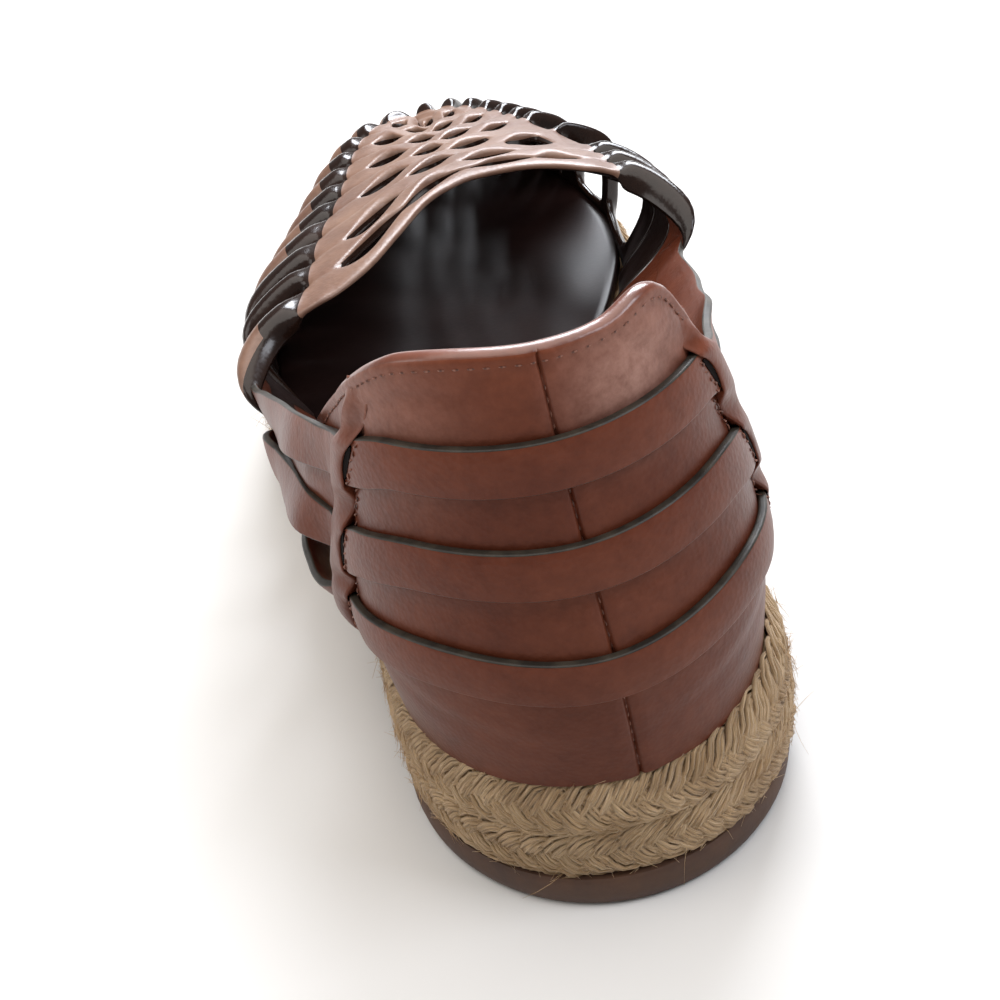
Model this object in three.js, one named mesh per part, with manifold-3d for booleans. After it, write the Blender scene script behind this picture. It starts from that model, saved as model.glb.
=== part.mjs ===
// A woven leather espadrille flat, for the left foot, in millimetres.
// +Y runs to the toe, +X to the inner side of the foot and +Z up.

import * as THREE from 'three';
import { mergeVertices } from 'three/addons/utils/BufferGeometryUtils.js';
import Module from 'manifold-3d';

const wasm = await Module();
wasm.setup();

// Sole
const LENGTH = 243;
const HEEL_ROUND = 34; // reach of the heel's half ellipse along the foot
const TOE_ROUND = 95; // reach of the toe's half ellipse along the foot
const OUTSOLE_THICK = 5.7;
const OUTSOLE_BEVEL = 1.2;
const TOE_SPRING = 5;
const SPRING_START = 165;
const BRAID_ROWS = 2;
const BRAID_TUCK = 1.6; // depth of the groove between two braids
const INSOLE_THICK = 2.6;
const INSOLE_INSET = 5.8;
const INSOLE_ROUND = 0.7;
const FIT_GAP = 0.3; // clearance between neighbouring pieces
const SOLE_STEPS = 27; // stations along each side of the sole
const WELD = 1e-4; // corners nearer than this are one

// Upper
const WALL = 2; // leather and lining together
const TUCK_START = 0.55; // turn where the swollen side starts back to its foot
const TOE_OVERHANG = 1; // swell of the upper over its foot at the toe
const FEATHER_STEPS = 40;
const FEATHER = 2.8; // the upper stands this far inside the sole's edge
const RIDGE_X = 10.5; // the vamp's top line lies towards the inner side
const THROAT_Y = 149;
const RIDGE_END_Y = 222; // where the vamp's top line turns down to the toe
const STRIPS = 11;
const STRIP_LIFT = 1.2; // crown of a strip over the wall
const RAIL_LIFT = 0.9;
const GAP_SINK = 0.4; // floor between two strips that touch

// Straps and the keepers that hold them
const STRAP_WIDTH = 7;
const STRAP_THICK = 1.8;
const STRAP_GAP = 0.5; // clearance between a strap's curve and the heel wall
const STRAP_END_GAP = 0.85; // clearance between a strap's straight end and the vamp's curved edge
const KEEPER_WIDTH = 6;
const KEEPER_ROOT = 0.6; // the keeper's foot sinks this far into the counter's wall
const KEEPER_LOW = 33;
const KEEPER_HIGH = 84;
const KEEPER_ROWS = 20;
const KEEPER_DOWN = 10; // distance from a strap's middle line where the keeper is down on the wall
const KEEPER_FALL = 6.7; // run over which it comes down
const KEEPER_SHOULDER = 0.6; // height of its shoulders, as a share of its rise
const KEEPER_CROWN = 0.5; // width of its flat top, as a share of its width
const KEEPER_TAPER = 2; // rows over which each end of the keeper runs out

// Keepers by height: distance round from the back seam to the middle of each
const KEEPER_LINE = [
  { height: 33, outer: 50, inner: 46.3 },
  { height: 44, outer: 48, inner: 44 },
  { height: 54, outer: 46, inner: 41 },
  { height: 62, outer: 44, inner: 38.3 },
  { height: 70, outer: 41.5, inner: 35.3 },
  { height: 77, outer: 38, inner: 31.6 },
  { height: 84, outer: 34.5, inner: 27.6 },
];

// Sole outline: distance from the heel, middle line and half width
const OUTLINE = [
  { along: 0, middle: 0, half: 31.2 },
  { along: 39, middle: -0.4, half: 31.2 },
  { along: 61, middle: -1.0, half: 30.2 },
  { along: 80, middle: -1.9, half: 29.3 },
  { along: 99, middle: -3.6, half: 29.6 },
  { along: 112, middle: -4.2, half: 31.8 },
  { along: 123, middle: -3.9, half: 35.4 },
  { along: 134, middle: -2.4, half: 40.0 },
  { along: 147, middle: -0.2, half: 43.4 },
  { along: 160, middle: 3, half: 45.2 },
  { along: 175, middle: 6, half: 45.6 },
  { along: 190, middle: 8.2, half: 45 },
  { along: 210, middle: 9.8, half: 43.6 },
  { along: 243, middle: RIDGE_X, half: 42 },
];

// Height of the jute's top over the underside of the sole
const SOLE_RISE = [
  { along: 0, rise: 24 },
  { along: 40, rise: 24 },
  { along: 95, rise: 21.4 },
  { along: 145, rise: 18.6 },
  { along: 243, rise: 17.6 },
];

// Side of one braid: share of its height and tuck from its crest
const BRAID_SIDE = [
  { share: 0, tuck: BRAID_TUCK },
  { share: 0.2, tuck: 0.4 },
  { share: 0.5, tuck: 0 },
  { share: 0.8, tuck: 0.4 },
];

// Vamp's top line: height over the floor
const RIDGE = [
  { along: 149, height: 52.5 },
  { along: 160, height: 51 },
  { along: 176, height: 48 },
  { along: 190, height: 45 },
  { along: 201, height: 42.4 },
  { along: 209, height: 40.2 },
  { along: 216, height: 37.8 },
  { along: 222, height: 35.2 },
];

// Where the vamp starts at the sole, how far its side swells over its foot there, and how fast this
// fades towards the toe
const VAMP_SIDE = {
  outer: { sign: -1, start: 106, overhang: 19, fade: 4 },
  inner: { sign: 1, start: 122, overhang: 28, fade: 2.5 },
};

// Powers of the vamp's rounded sections from the throat (0) to the toe (1)
const SECTION_POWER = [
  { share: 0, outer: 3.2, inner: 3.2 },
  { share: 0.2, outer: 2.5, inner: 2.9 },
  { share: 0.45, outer: 2.1, inner: 2.5 },
  { share: 0.75, outer: 2.5, inner: 2.6 },
  { share: 1, outer: 3, inner: 3 },
];

// Throat: how far its edge has gone back from the top line, by its way across to the side
const THROAT = [
  { across: 0, outer: 0, inner: 0 },
  { across: 0.14, outer: 0.12, inner: 0.02 },
  { across: 0.27, outer: 0.37, inner: 0.06 },
  { across: 0.4, outer: 0.61, inner: 0.15 },
  { across: 0.55, outer: 0.76, inner: 0.31 },
  { across: 0.75, outer: 0.83, inner: 0.58 },
  { across: 1, outer: 1, inner: 1 },
];

// Heel wall: inset from the sole's outline by height over the floor
const HEEL_CURVE = [
  { height: 20, inset: 3.1 },
  { height: 24, inset: 2.8 },
  { height: 36, inset: 1.5 },
  { height: 45, inset: 1.3 },
  { height: 54, inset: 2.4 },
  { height: 64, inset: 4.3 },
  { height: 80, inset: 6.8 },
  { height: 95, inset: 8 },
];
const ROUND_QUARTER = 46; // distance round from the back seam to the end of the heel's ellipse
const HEEL_FLARE = { outer: 0.13, inner: 0.25 }; // outward run of the sides towards the front
const FLARE_RISE = 30; // height over the sole for one unit of the flare
const FLARE_MOST = 1.2;

// Heel counter by distance round from the back seam, outer side below zero: its lower and upper
// edge. The outer side runs forward in a lobe, the inner side ends behind its keeper.
const COUNTER_EDGE = [
  { round: -82, lower: 44, upper: 47.5 },
  { round: -78, lower: 41, upper: 51.5 },
  { round: -69, lower: 33, upper: 60.2 },
  { round: -60, lower: 0, upper: 68.4 },
  { round: -50, lower: 0, upper: 76.8 },
  { round: -40, lower: 0, upper: 84 },
  { round: -31, lower: 0, upper: 89.6 },
  { round: -24, lower: 0, upper: 92.6 },
  { round: -14, lower: 0, upper: 94 },
  { round: 0, lower: 0, upper: 93.6 },
  { round: 10, lower: 0, upper: 93.4 },
  { round: 18, lower: 0, upper: 94.3 },
  { round: 22, lower: 0, upper: 93.6 },
  { round: 25, lower: 0, upper: 91.6 },
  { round: 28, lower: 0, upper: 88 },
  { round: 31, lower: 0, upper: 84.2 },
  { round: 35, lower: 0, upper: 78 },
  { round: 39, lower: 0, upper: 70 },
  { round: 42, lower: 0, upper: 63.4 },
  { round: 45, lower: 0, upper: 56 },
  { round: 48, lower: 0, upper: 46.5 },
  { round: 51, lower: 0, upper: 35.5 },
  { round: 53, lower: 0, upper: 28.5 },
];

const COUNTER_COLUMNS = 40;
const COUNTER_ROWS = 9;

// Straps: height of the middle of each strap by its distance round the heel wall, then its way
// through the open side to the vamp or the sole
const STRAPS = [
  {
    name: 'heel_strap_top',
    heights: [
      { round: -26, height: 77.4 },
      { round: 0, height: 78.2 },
      { round: 26, height: 77.4 },
      { round: 36, height: 74 },
      { round: 52, height: 68 },
      { round: 66, height: 63.6 },
      { round: 84, height: 55.6 },
    ],
    outer: [{ x: -39.6, y: 91, z: 47.2 }],
    inner: [{ x: 42.6, y: 88, z: 48.6 }, { x: 45.2, y: 106, z: 43.2 }],
    rim: { high: 0.56, low: 0.75 },
  },
  {
    name: 'heel_strap_middle',
    heights: [
      { round: -24, height: 63 },
      { round: 0, height: 63.1 },
      { round: 24, height: 63 },
      { round: 36, height: 59.4 },
      { round: 46, height: 54.6 },
      { round: 60, height: 51.6 },
      { round: 82, height: 45.6 },
    ],
    outer: [{ x: -38.6, y: 87, z: 40 }],
    inner: [{ x: 40.6, y: 88, z: 40.4 }, { x: 40.4, y: 106, z: 35.6 }],
    rim: { high: 0.81, low: 0.94 },
  },
  {
    name: 'heel_strap_bottom',
    heights: [
      { round: -24, height: 47.5 },
      { round: 0, height: 46 },
      { round: 24, height: 47.5 },
      { round: 42, height: 43.2 },
      { round: 62, height: 35.6 },
    ],
    outer: [
      { x: -32.4, y: 68, z: 29.6 },
      { x: -29.4, y: 84, z: 26.4 },
    ],
    inner: [
      { x: 30.4, y: 68, z: 29.6 },
      { x: 25.6, y: 84, z: 26.4 },
    ],
  },
];
const STRAP_HEEL_STEPS = 40;
const STRAP_FRONT_STEPS = 8;
const RIM_STEP = 0.03; // share of the vamp that gives the direction of its rear edge

// Reads one column of a table at a place along its first column, on a smooth curve
function read(table, key, column, at) {
  const last = table.length - 1;
  const place = Math.min(Math.max(at, table[0][key]), table[last][key]);
  let i = 0;
  while (i < last - 1 && place > table[i + 1][key]) i += 1;
  const before = table[Math.max(i - 1, 0)];
  const start = table[i];
  const end = table[i + 1];
  const after = table[Math.min(i + 2, last)];
  const span = end[key] - start[key];
  const startSlope = (end[column] - before[column]) / (end[key] - before[key]);
  const endSlope = (after[column] - start[column]) / (after[key] - start[key]);
  const t = (place - start[key]) / span;
  const rest = 1 - t;
  return rest * rest * (1 + 2 * t) * start[column] + t * t * (1 + 2 * rest) * end[column]
    + t * rest * (rest * startSlope - t * endSlope) * span;
}

function blend(from, to, share) {
  return from + (to - from) * share;
}

function ease(value) {
  const t = Math.min(Math.max(value, 0), 1);
  return t * t * (3 - 2 * t);
}

// Underside of the sole: flat from the heel to the ball, then the toe spring
function floorLine(y) {
  const t = Math.max(y - SPRING_START, 0) / (LENGTH - SPRING_START);
  return TOE_SPRING * t * t;
}

function soleTop(y) {
  return floorLine(y) + read(SOLE_RISE, 'along', 'rise', y);
}

// Rounding of the sole's ends as a share of its half width
function endRound(y, inset) {
  const heel = Math.max(HEEL_ROUND - y, 0) / (HEEL_ROUND - inset);
  const toe = Math.max(y - (LENGTH - TOE_ROUND), 0) / (TOE_ROUND - inset);
  return Math.sqrt(Math.max(1 - heel * heel - toe * toe, 0));
}

// Sole outline, moved inwards by an inset, on the outer (-1) or the inner (+1) side
function edgeX(y, side, inset) {
  const half = read(OUTLINE, 'along', 'half', y) - inset;
  return read(OUTLINE, 'along', 'middle', y) + side * half * endRound(y, inset);
}

// Closed ring of points round the sole, from the heel along the inner side and back along the outer
function soleRing(inset, heightAt) {
  const ring = [];
  for (let i = 0; i < 2 * SOLE_STEPS; i += 1) {
    const angle = Math.PI * i / SOLE_STEPS;
    const y = inset + (LENGTH - 2 * inset) * (1 - Math.cos(angle)) / 2;
    const side = i < SOLE_STEPS ? 1 : -1;
    ring.push(new THREE.Vector3(edgeX(y, side, inset), y, heightAt(y)));
  }
  return ring;
}

function geometryOf(points, faces) {
  const geometry = new THREE.BufferGeometry();
  const values = points.flatMap((point) => point.toArray());
  geometry.setAttribute('position', new THREE.Float32BufferAttribute(values, 3));
  geometry.setIndex(faces.flat());
  return mergeVertices(geometry, WELD);
}

// Solid between rings stacked from the bottom up, with a ladder of faces across each end
function stackRings(rings) {
  const count = rings[0].length;
  const points = rings.flat();
  const faces = [];
  for (let r = 0; r < rings.length - 1; r += 1) {
    for (let i = 0; i < count; i += 1) {
      const next = (i + 1) % count;
      const low = r * count;
      const high = low + count;
      faces.push([low + i, low + next, high + next], [low + i, high + next, high + i]);
    }
  }
  const top = (rings.length - 1) * count;
  for (let i = 0; i < count / 2; i += 1) {
    const mirror = (count - i) % count;
    const nextMirror = count - i - 1;
    const quad = [i, i + 1, nextMirror, mirror];
    const corners = [...new Set(quad)];
    for (let k = 1; k < corners.length - 1; k += 1) {
      faces.push([corners[0] + top, corners[k] + top, corners[k + 1] + top]);
      faces.push([corners[0], corners[k + 1], corners[k]]);
    }
  }
  return geometryOf(points, faces);
}

// Wall made of a grid of cells, each with an outer and an inner face. Open cells become holes, and
// every edge beside a hole or at the border gets a rim, apart from the border that is sealed.
function gridWall({ rows, columns, outer, inner, isOpen = () => false, sealTop = false }) {
  const points = [];
  const faces = [];
  const width = columns + 1;
  for (let i = 0; i <= rows; i += 1) {
    for (let j = 0; j <= columns; j += 1) points.push(outer(i, j), inner(i, j));
  }
  const out = (i, j) => 2 * (i * width + j);
  const inn = (i, j) => out(i, j) + 1;
  const solid = (i, j) => i >= 0 && j >= 0 && i < rows && j < columns && !isOpen(i, j);
  const rim = (a, b) => {
    faces.push([out(...a), inn(...a), inn(...b)], [out(...a), inn(...b), out(...b)]);
  };
  for (let i = 0; i < rows; i += 1) {
    for (let j = 0; j < columns; j += 1) {
      if (!solid(i, j)) continue;
      const [a, b, c, d] = [[i, j], [i, j + 1], [i + 1, j + 1], [i + 1, j]];
      faces.push([out(...a), out(...b), out(...c)], [out(...a), out(...c), out(...d)]);
      faces.push([inn(...a), inn(...c), inn(...b)], [inn(...a), inn(...d), inn(...c)]);
      if (!solid(i - 1, j)) rim(a, b);
      if (!solid(i, j + 1)) rim(b, c);
      if (!solid(i + 1, j) && !(sealTop && i === rows - 1)) rim(c, d);
      if (!solid(i, j - 1)) rim(d, a);
    }
  }
  return geometryOf(points, faces);
}

// Solid along a row of sections with the same number of corners, each listed the same way round
function stackSections(sections) {
  const count = sections[0].length;
  const points = sections.flat();
  const faces = [];
  for (let s = 0; s < sections.length - 1; s += 1) {
    for (let i = 0; i < count; i += 1) {
      const next = (i + 1) % count;
      const near = s * count;
      const far = near + count;
      faces.push([near + i, near + next, far + next], [near + i, far + next, far + i]);
    }
  }
  const last = (sections.length - 1) * count;
  for (let k = 1; k < count - 1; k += 1) {
    faces.push([0, k + 1, k], [last, last + k, last + k + 1]);
  }
  return geometryOf(points, faces);
}

function toManifold(geometry) {
  return new wasm.Manifold(new wasm.Mesh({
    numProp: 3,
    vertProperties: Float32Array.from(geometry.attributes.position.array),
    triVerts: Uint32Array.from(geometry.index.array),
  }));
}

function fromManifold(solid) {
  const mesh = solid.getMesh();
  const geometry = new THREE.BufferGeometry();
  geometry.setAttribute('position', new THREE.BufferAttribute(Float32Array.from(mesh.vertProperties), 3));
  geometry.setIndex(Array.from(mesh.triVerts));
  return geometry;
}

// Outsole
function outsoleGeometry() {
  return stackRings([
    soleRing(OUTSOLE_BEVEL, floorLine),
    soleRing(0, (y) => floorLine(y) + OUTSOLE_BEVEL),
    soleRing(0, (y) => floorLine(y) + OUTSOLE_THICK),
  ]);
}

// Jute midsole: rounded braids, one above the other, up to the upper
function juteGeometry() {
  const bottom = (y) => floorLine(y) + OUTSOLE_THICK + FIT_GAP;
  const rings = [];
  const addRing = (share, tuck) => {
    rings.push(soleRing(tuck, (y) => blend(bottom(y), soleTop(y), share)));
  };
  for (let row = 0; row < BRAID_ROWS; row += 1) {
    for (const { share, tuck } of BRAID_SIDE) addRing((row + share) / BRAID_ROWS, tuck);
  }
  addRing(1, BRAID_TUCK);
  return stackRings(rings);
}

// Insole: a thin pad with rounded edges, inside the foot of the upper
function insoleGeometry() {
  const level = (lift) => (y) => soleTop(y) + FIT_GAP + lift;
  return stackRings([
    soleRing(INSOLE_INSET, level(0)),
    soleRing(INSOLE_INSET, level(INSOLE_THICK - INSOLE_ROUND)),
    soleRing(INSOLE_INSET + INSOLE_ROUND, level(INSOLE_THICK)),
  ]);
}

// Vamp: the edge that it stands on, from its rear corner to the toe, one curve for each side
function featherCurve({ sign, start }) {
  const tip = LENGTH - FEATHER;
  const points = [];
  for (let i = 0; i <= FEATHER_STEPS; i += 1) {
    const y = start + (tip - start) * Math.sin(Math.PI / 2 * i / FEATHER_STEPS);
    points.push(new THREE.Vector2(edgeX(y, sign, FEATHER), y));
  }
  return new THREE.SplineCurve(points);
}

const FEATHER_CURVES = {
  outer: featherCurve(VAMP_SIDE.outer),
  inner: featherCurve(VAMP_SIDE.inner),
};

// Outward direction of the sole's outline in plan
function outwardAt(foot) {
  const middle = read(OUTLINE, 'along', 'middle', foot.y);
  const half = read(OUTLINE, 'along', 'half', foot.y);
  const past = Math.max(foot.y - (LENGTH - TOE_ROUND), 0);
  return new THREE.Vector2((foot.x - middle) / (half * half), past / (TOE_ROUND * TOE_ROUND)).normalize();
}

// Point of the last's surface under the vamp, raised by a lift. The share runs from the throat (0)
// to the toe (1), and the turn from the outer foot edge (-1) over the top line (0) to the inner (+1).
function vampPoint(share, turn, lift) {
  const sideName = turn < 0 ? 'outer' : 'inner';
  const { overhang: rearOverhang, fade } = VAMP_SIDE[sideName];
  const drop = Math.abs(turn);
  const squareness = 2 / read(SECTION_POWER, 'share', sideName, share);
  const across = Math.sin(drop * Math.PI / 2) ** squareness;
  const up = Math.max(Math.cos(drop * Math.PI / 2), 0) ** squareness;
  const foot = FEATHER_CURVES[sideName].getPointAt(share);
  const outward = outwardAt(foot);
  const overhang = TOE_OVERHANG + rearOverhang * (1 - share) ** fade;
  const tuck = ease((drop - TUCK_START) / (1 - TUCK_START));
  const reach = foot.clone().addScaledVector(outward, overhang + lift);
  const ridgeY = blend(THROAT_Y, RIDGE_END_Y, share);
  const ridgeZ = read(RIDGE, 'along', 'height', ridgeY) + lift;
  const base = soleTop(foot.y) + FIT_GAP;
  const back = blend(read(THROAT, 'across', sideName, across), across, share);
  const plan = new THREE.Vector2(
    blend(RIDGE_X, reach.x, across),
    blend(ridgeY, reach.y, back),
  ).addScaledVector(outward, -overhang * tuck);
  return new THREE.Vector3(plan.x, plan.y, blend(base, ridgeZ, up));
}

// Vamp columns on one side, from the foot edge to the top line: where each line lies, what it is,
// and what the cell after it is
const VAMP_COLUMNS = [
  { turn: 1, line: 'foot', cell: 'foot' },
  { turn: 0.93, line: 'side', cell: 'side' },
  { turn: 0.82, line: 'side', cell: 'side' },
  { turn: 0.7, line: 'side', cell: 'side' },
  { turn: 0.58, line: 'side', cell: 'side' },
  { turn: 0.46, line: 'side', cell: 'side' },
  { turn: 0.36, line: 'side', cell: 'rail' },
  { turn: 0.3, line: 'rail', cell: 'rail' },
  { turn: 0.24, line: 'centre', cell: 'centre' },
  { turn: 0.17, line: 'centre', cell: 'centre' },
  { turn: 0.115, line: 'centre', cell: 'centre' },
  { turn: 0.065, line: 'centre', cell: 'centre' },
  { turn: 0.025, line: 'centre', cell: 'centre' },
];
const EYE_COLUMNS = 6; // columns from one eye of the centre weave to the next
const EYE_OPEN = 0.3; // half opening of an eye, as a share of the strip pitch
const EYE_SHUT = 0.05;
const EYE_EDGE = 0.4; // cells of the centre weave with less than this of an eye are closed
const SIDE_OPEN = 0.12;
const REAR_OPEN = [0, 0.2, 0.16]; // the first gaps of the outer side are wider

// Rear and front edge of the first strips at the inner side, in strip widths from the throat: two
// windows with a thin rib between them lie before the throat's corner. The other strips share the rest.
const INNER_STRIPS = [
  { rear: 0, front: 0.95 },
  { rear: 1.05, front: 1.95 },
  { rear: 2.05, front: 2.85 },
  { rear: 4.65, front: 4.92 },
];
const INNER_REST = 6.1; // where the evenly spaced strips of the inner side start
const INNER_OPEN = 0.07;
const LEAN_TURN = 0.36; // turn where the strips have reached their places at the inner side

function vampGrid() {
  const outer = VAMP_COLUMNS.map(({ turn, line }) => ({ turn: -turn, line }));
  const inner = VAMP_COLUMNS.map(({ turn, line }) => ({ turn, line })).reverse();
  const lines = [...outer, { turn: 0, line: 'centre' }, ...inner];
  const halfCells = VAMP_COLUMNS.map(({ cell }) => cell);
  const cells = [...halfCells, ...halfCells.slice().reverse()];
  const middle = halfCells.length;

  // Opening of the gap before a strip at a column line, as a share of the pitch
  const eyeAt = (gap, j) => {
    const phase = (j - middle + (gap % 2) * EYE_COLUMNS / 2) / EYE_COLUMNS;
    return Math.max(Math.cos(2 * Math.PI * phase), 0);
  };
  const opening = (gap, j) => {
    if (gap === 0 || gap === STRIPS) return 0;
    const { line } = lines[j];
    if (line === 'rail') return EYE_SHUT;
    if (line === 'centre') return blend(EYE_SHUT, EYE_OPEN, eyeAt(gap, j));
    return REAR_OPEN[gap] ?? SIDE_OPEN;
  };

  const innerStrip = (strip) => {
    const first = INNER_STRIPS.length;
    if (strip < first) return INNER_STRIPS[strip];
    const pitch = (STRIPS - INNER_REST) / (STRIPS - first);
    const start = INNER_REST + (strip - first) * pitch;
    return { rear: start + INNER_OPEN, front: strip === STRIPS - 1 ? STRIPS : start + pitch - INNER_OPEN };
  };

  // Three lines for each strip: its rear edge, its crown and its front edge
  const shareAt = (i, j) => {
    const strip = Math.floor(i / 3);
    const rear = strip + opening(strip, j);
    const front = strip + 1 - opening(strip + 1, j);
    const side = innerStrip(strip);
    const lean = Math.min(Math.max(lines[j].turn / LEAN_TURN, 0), 1);
    const edges = [blend(rear, side.rear, lean), blend(front, side.front, lean)];
    return [edges[0], (edges[0] + edges[1]) / 2, edges[1]][i % 3] / STRIPS;
  };
  const liftAt = (i, j) => {
    const { line } = lines[j];
    if (line === 'foot') return 0;
    if (line === 'rail') return RAIL_LIFT;
    return i % 3 === 1 ? STRIP_LIFT : -GAP_SINK;
  };
  const isOpen = (i, j) => {
    if (i % 3 !== 2) return false;
    const gap = Math.floor(i / 3) + 1;
    if (cells[j] === 'centre') return eyeAt(gap, j) + eyeAt(gap, j + 1) > EYE_EDGE;
    return cells[j] === 'side';
  };
  return gridWall({
    rows: 3 * STRIPS - 1,
    columns: cells.length,
    outer: (i, j) => vampPoint(shareAt(i, j), lines[j].turn, liftAt(i, j)),
    inner: (i, j) => vampPoint(shareAt(i, j), lines[j].turn, -WALL),
    isOpen,
    sealTop: true,
  });
}

// Heel wall: distance round from the back seam (outer side negative) and height to a point,
// moved out from the wall's face
function heelPoint(round, height, out) {
  const side = Math.sign(round) || 1;
  const distance = Math.abs(round);
  const inset = read(HEEL_CURVE, 'height', 'inset', height) - out;
  if (distance <= ROUND_QUARTER) {
    const angle = Math.PI / 2 * distance / ROUND_QUARTER;
    const y = HEEL_ROUND - (HEEL_ROUND - inset) * Math.cos(angle);
    const half = read(OUTLINE, 'along', 'half', y) - inset;
    const x = read(OUTLINE, 'along', 'middle', y) + side * half * Math.sin(angle);
    return new THREE.Vector3(x, y, height);
  }
  const y = HEEL_ROUND + distance - ROUND_QUARTER;
  const rise = Math.min(Math.max((height - soleTop(y)) / FLARE_RISE, 0), FLARE_MOST);
  const flare = (side < 0 ? HEEL_FLARE.outer : HEEL_FLARE.inner) * (y - HEEL_ROUND) * rise;
  const x = edgeX(y, side, inset) + side * flare;
  return new THREE.Vector3(x, y, height);
}

// Keeper: a loop of leather that rises over each strap and comes down between them
function keeperGeometry(side) {
  const sections = [];
  for (let r = 0; r <= KEEPER_ROWS; r += 1) {
    const height = blend(KEEPER_LOW, KEEPER_HIGH, r / KEEPER_ROWS);
    const middle = read(KEEPER_LINE, 'height', side < 0 ? 'outer' : 'inner', height);
    const nearest = Math.min(...STRAPS.map(({ heights }) => (
      Math.abs(read(heights, 'round', 'height', middle) - height))));
    const arch = ease((KEEPER_DOWN - nearest) / KEEPER_FALL);
    const taper = ease(Math.min(r, KEEPER_ROWS - r) / KEEPER_TAPER);
    const rise = taper * blend(WALL, STRAP_GAP + STRAP_THICK + FIT_GAP + WALL, arch);
    const half = KEEPER_WIDTH / 2;
    const section = [
      { across: -half, out: -KEEPER_ROOT },
      { across: -half, out: rise * KEEPER_SHOULDER },
      { across: -half * KEEPER_CROWN, out: rise },
      { across: half * KEEPER_CROWN, out: rise },
      { across: half, out: rise * KEEPER_SHOULDER },
      { across: half, out: -KEEPER_ROOT },
    ].map(({ across, out }) => heelPoint(side * (middle + across), height, out));
    sections.push(side > 0 ? section : section.reverse());
  }
  return stackSections(sections);
}

// Sections of a strap on the heel wall, from the outer side round the back to the inner side
function strapOnHeel({ heights }, half, inside, outside) {
  const reach = heights[heights.length - 1].round;
  const sections = [];
  for (let i = 0; i <= STRAP_HEEL_STEPS; i += 1) {
    const round = blend(-reach, reach, i / STRAP_HEEL_STEPS);
    const heightAt = (distance) => read(heights, 'round', 'height', Math.abs(distance));
    const slope = (heightAt(round + 1) - heightAt(round - 1)) / 2;
    const tall = half * Math.hypot(1, slope);
    const corner = (up, out) => heelPoint(round, heightAt(round) + up, out);
    sections.push([
      corner(-tall, inside),
      corner(tall, inside),
      corner(tall, outside),
      corner(-tall, outside),
    ]);
  }
  return sections;
}

const middleOf = (points) => points.reduce((sum, p) => sum.add(p), new THREE.Vector3())
  .divideScalar(points.length);

// End of a strap against the rear edge of the vamp
function endOnVamp({ high, low }, side) {
  const rearEdge = (turn, lift) => {
    const point = vampPoint(0, side * turn, lift);
    const forward = vampPoint(RIM_STEP, side * turn, lift).sub(point).normalize();
    return point.addScaledVector(forward, -STRAP_END_GAP);
  };
  return [rearEdge(low, -WALL), rearEdge(high, -WALL), rearEdge(high, 0), rearEdge(low, 0)];
}

// Sections from the end of the heel wall forward, through the strap's own points
function strapForward(last, before, strap, half, thick, side) {
  const way = side < 0 ? strap.outer : strap.inner;
  const end = strap.rim ? endOnVamp(strap.rim, side) : null;
  const start = middleOf(last);
  const curve = new THREE.CatmullRomCurve3([
    middleOf(before),
    start,
    ...way.map(({ x, y, z }) => new THREE.Vector3(x, y, z)),
    ...(end ? [middleOf(end)] : []),
  ]);
  const from = start.distanceTo(middleOf(before)) / curve.getLength();
  const upAtStart = last[1].clone().sub(last[0]).normalize();
  const upAtEnd = end ? end[1].clone().sub(end[0]).normalize() : new THREE.Vector3(0, 0, 1);
  const sections = [];
  for (let i = 1; i <= STRAP_FRONT_STEPS; i += 1) {
    const share = i / STRAP_FRONT_STEPS;
    const at = blend(from, 1, share);
    const point = curve.getPointAt(at);
    const tangent = curve.getTangentAt(at);
    const up = upAtStart.clone().lerp(upAtEnd, share).normalize();
    const face = new THREE.Vector3().crossVectors(up, tangent).multiplyScalar(-side).normalize();
    const corner = (w, t) => point.clone().addScaledVector(up, w).addScaledVector(face, t);
    sections.push([
      corner(-half, -thick / 2),
      corner(half, -thick / 2),
      corner(half, thick / 2),
      corner(-half, thick / 2),
    ]);
  }
  if (end) sections[sections.length - 1] = end;
  return sections;
}

// Whole strap, with extra width and thickness where it serves to cut its own passage
function strapGeometry(strap, extraWidth = 0, extraInside = 0, extraOutside = 0) {
  const half = STRAP_WIDTH / 2 + extraWidth;
  const inside = STRAP_GAP - extraInside;
  const outside = STRAP_GAP + STRAP_THICK + extraOutside;
  const heel = strapOnHeel(strap, half, inside, outside);
  const end = heel.length - 1;
  const outer = strapForward(heel[0], heel[1], strap, half, outside - inside, -1);
  const inner = strapForward(heel[end], heel[end - 1], strap, half, outside - inside, 1);
  return stackSections([...outer.reverse(), ...heel, ...inner]);
}

// Heel counter: the wall with a keeper on each side, tunnelled for the straps
function counterGeometry() {
  const outerEnd = COUNTER_EDGE[0].round;
  const innerEnd = COUNTER_EDGE[COUNTER_EDGE.length - 1].round;
  const point = (i, j, out) => {
    const round = blend(outerEnd, innerEnd, j / COUNTER_COLUMNS);
    const foot = heelPoint(round, soleTop(0), 0);
    const ground = soleTop(foot.y) + FIT_GAP;
    const lower = Math.max(read(COUNTER_EDGE, 'round', 'lower', round), ground);
    const upper = read(COUNTER_EDGE, 'round', 'upper', round);
    return heelPoint(round, blend(lower, upper, i / COUNTER_ROWS), out);
  };
  const wall = gridWall({
    rows: COUNTER_ROWS,
    columns: COUNTER_COLUMNS,
    outer: (i, j) => point(i, j, 0),
    inner: (i, j) => point(i, j, -WALL),
  });
  let solid = toManifold(wall);
  const passages = STRAPS.map((strap) => strapGeometry(strap, FIT_GAP, STRAP_GAP + KEEPER_ROOT, FIT_GAP));
  for (const side of [-1, 1]) {
    let keeper = toManifold(keeperGeometry(side));
    for (const passage of passages) keeper = keeper.subtract(toManifold(passage));
    solid = solid.add(keeper);
  }
  return fromManifold(solid);
}

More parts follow.
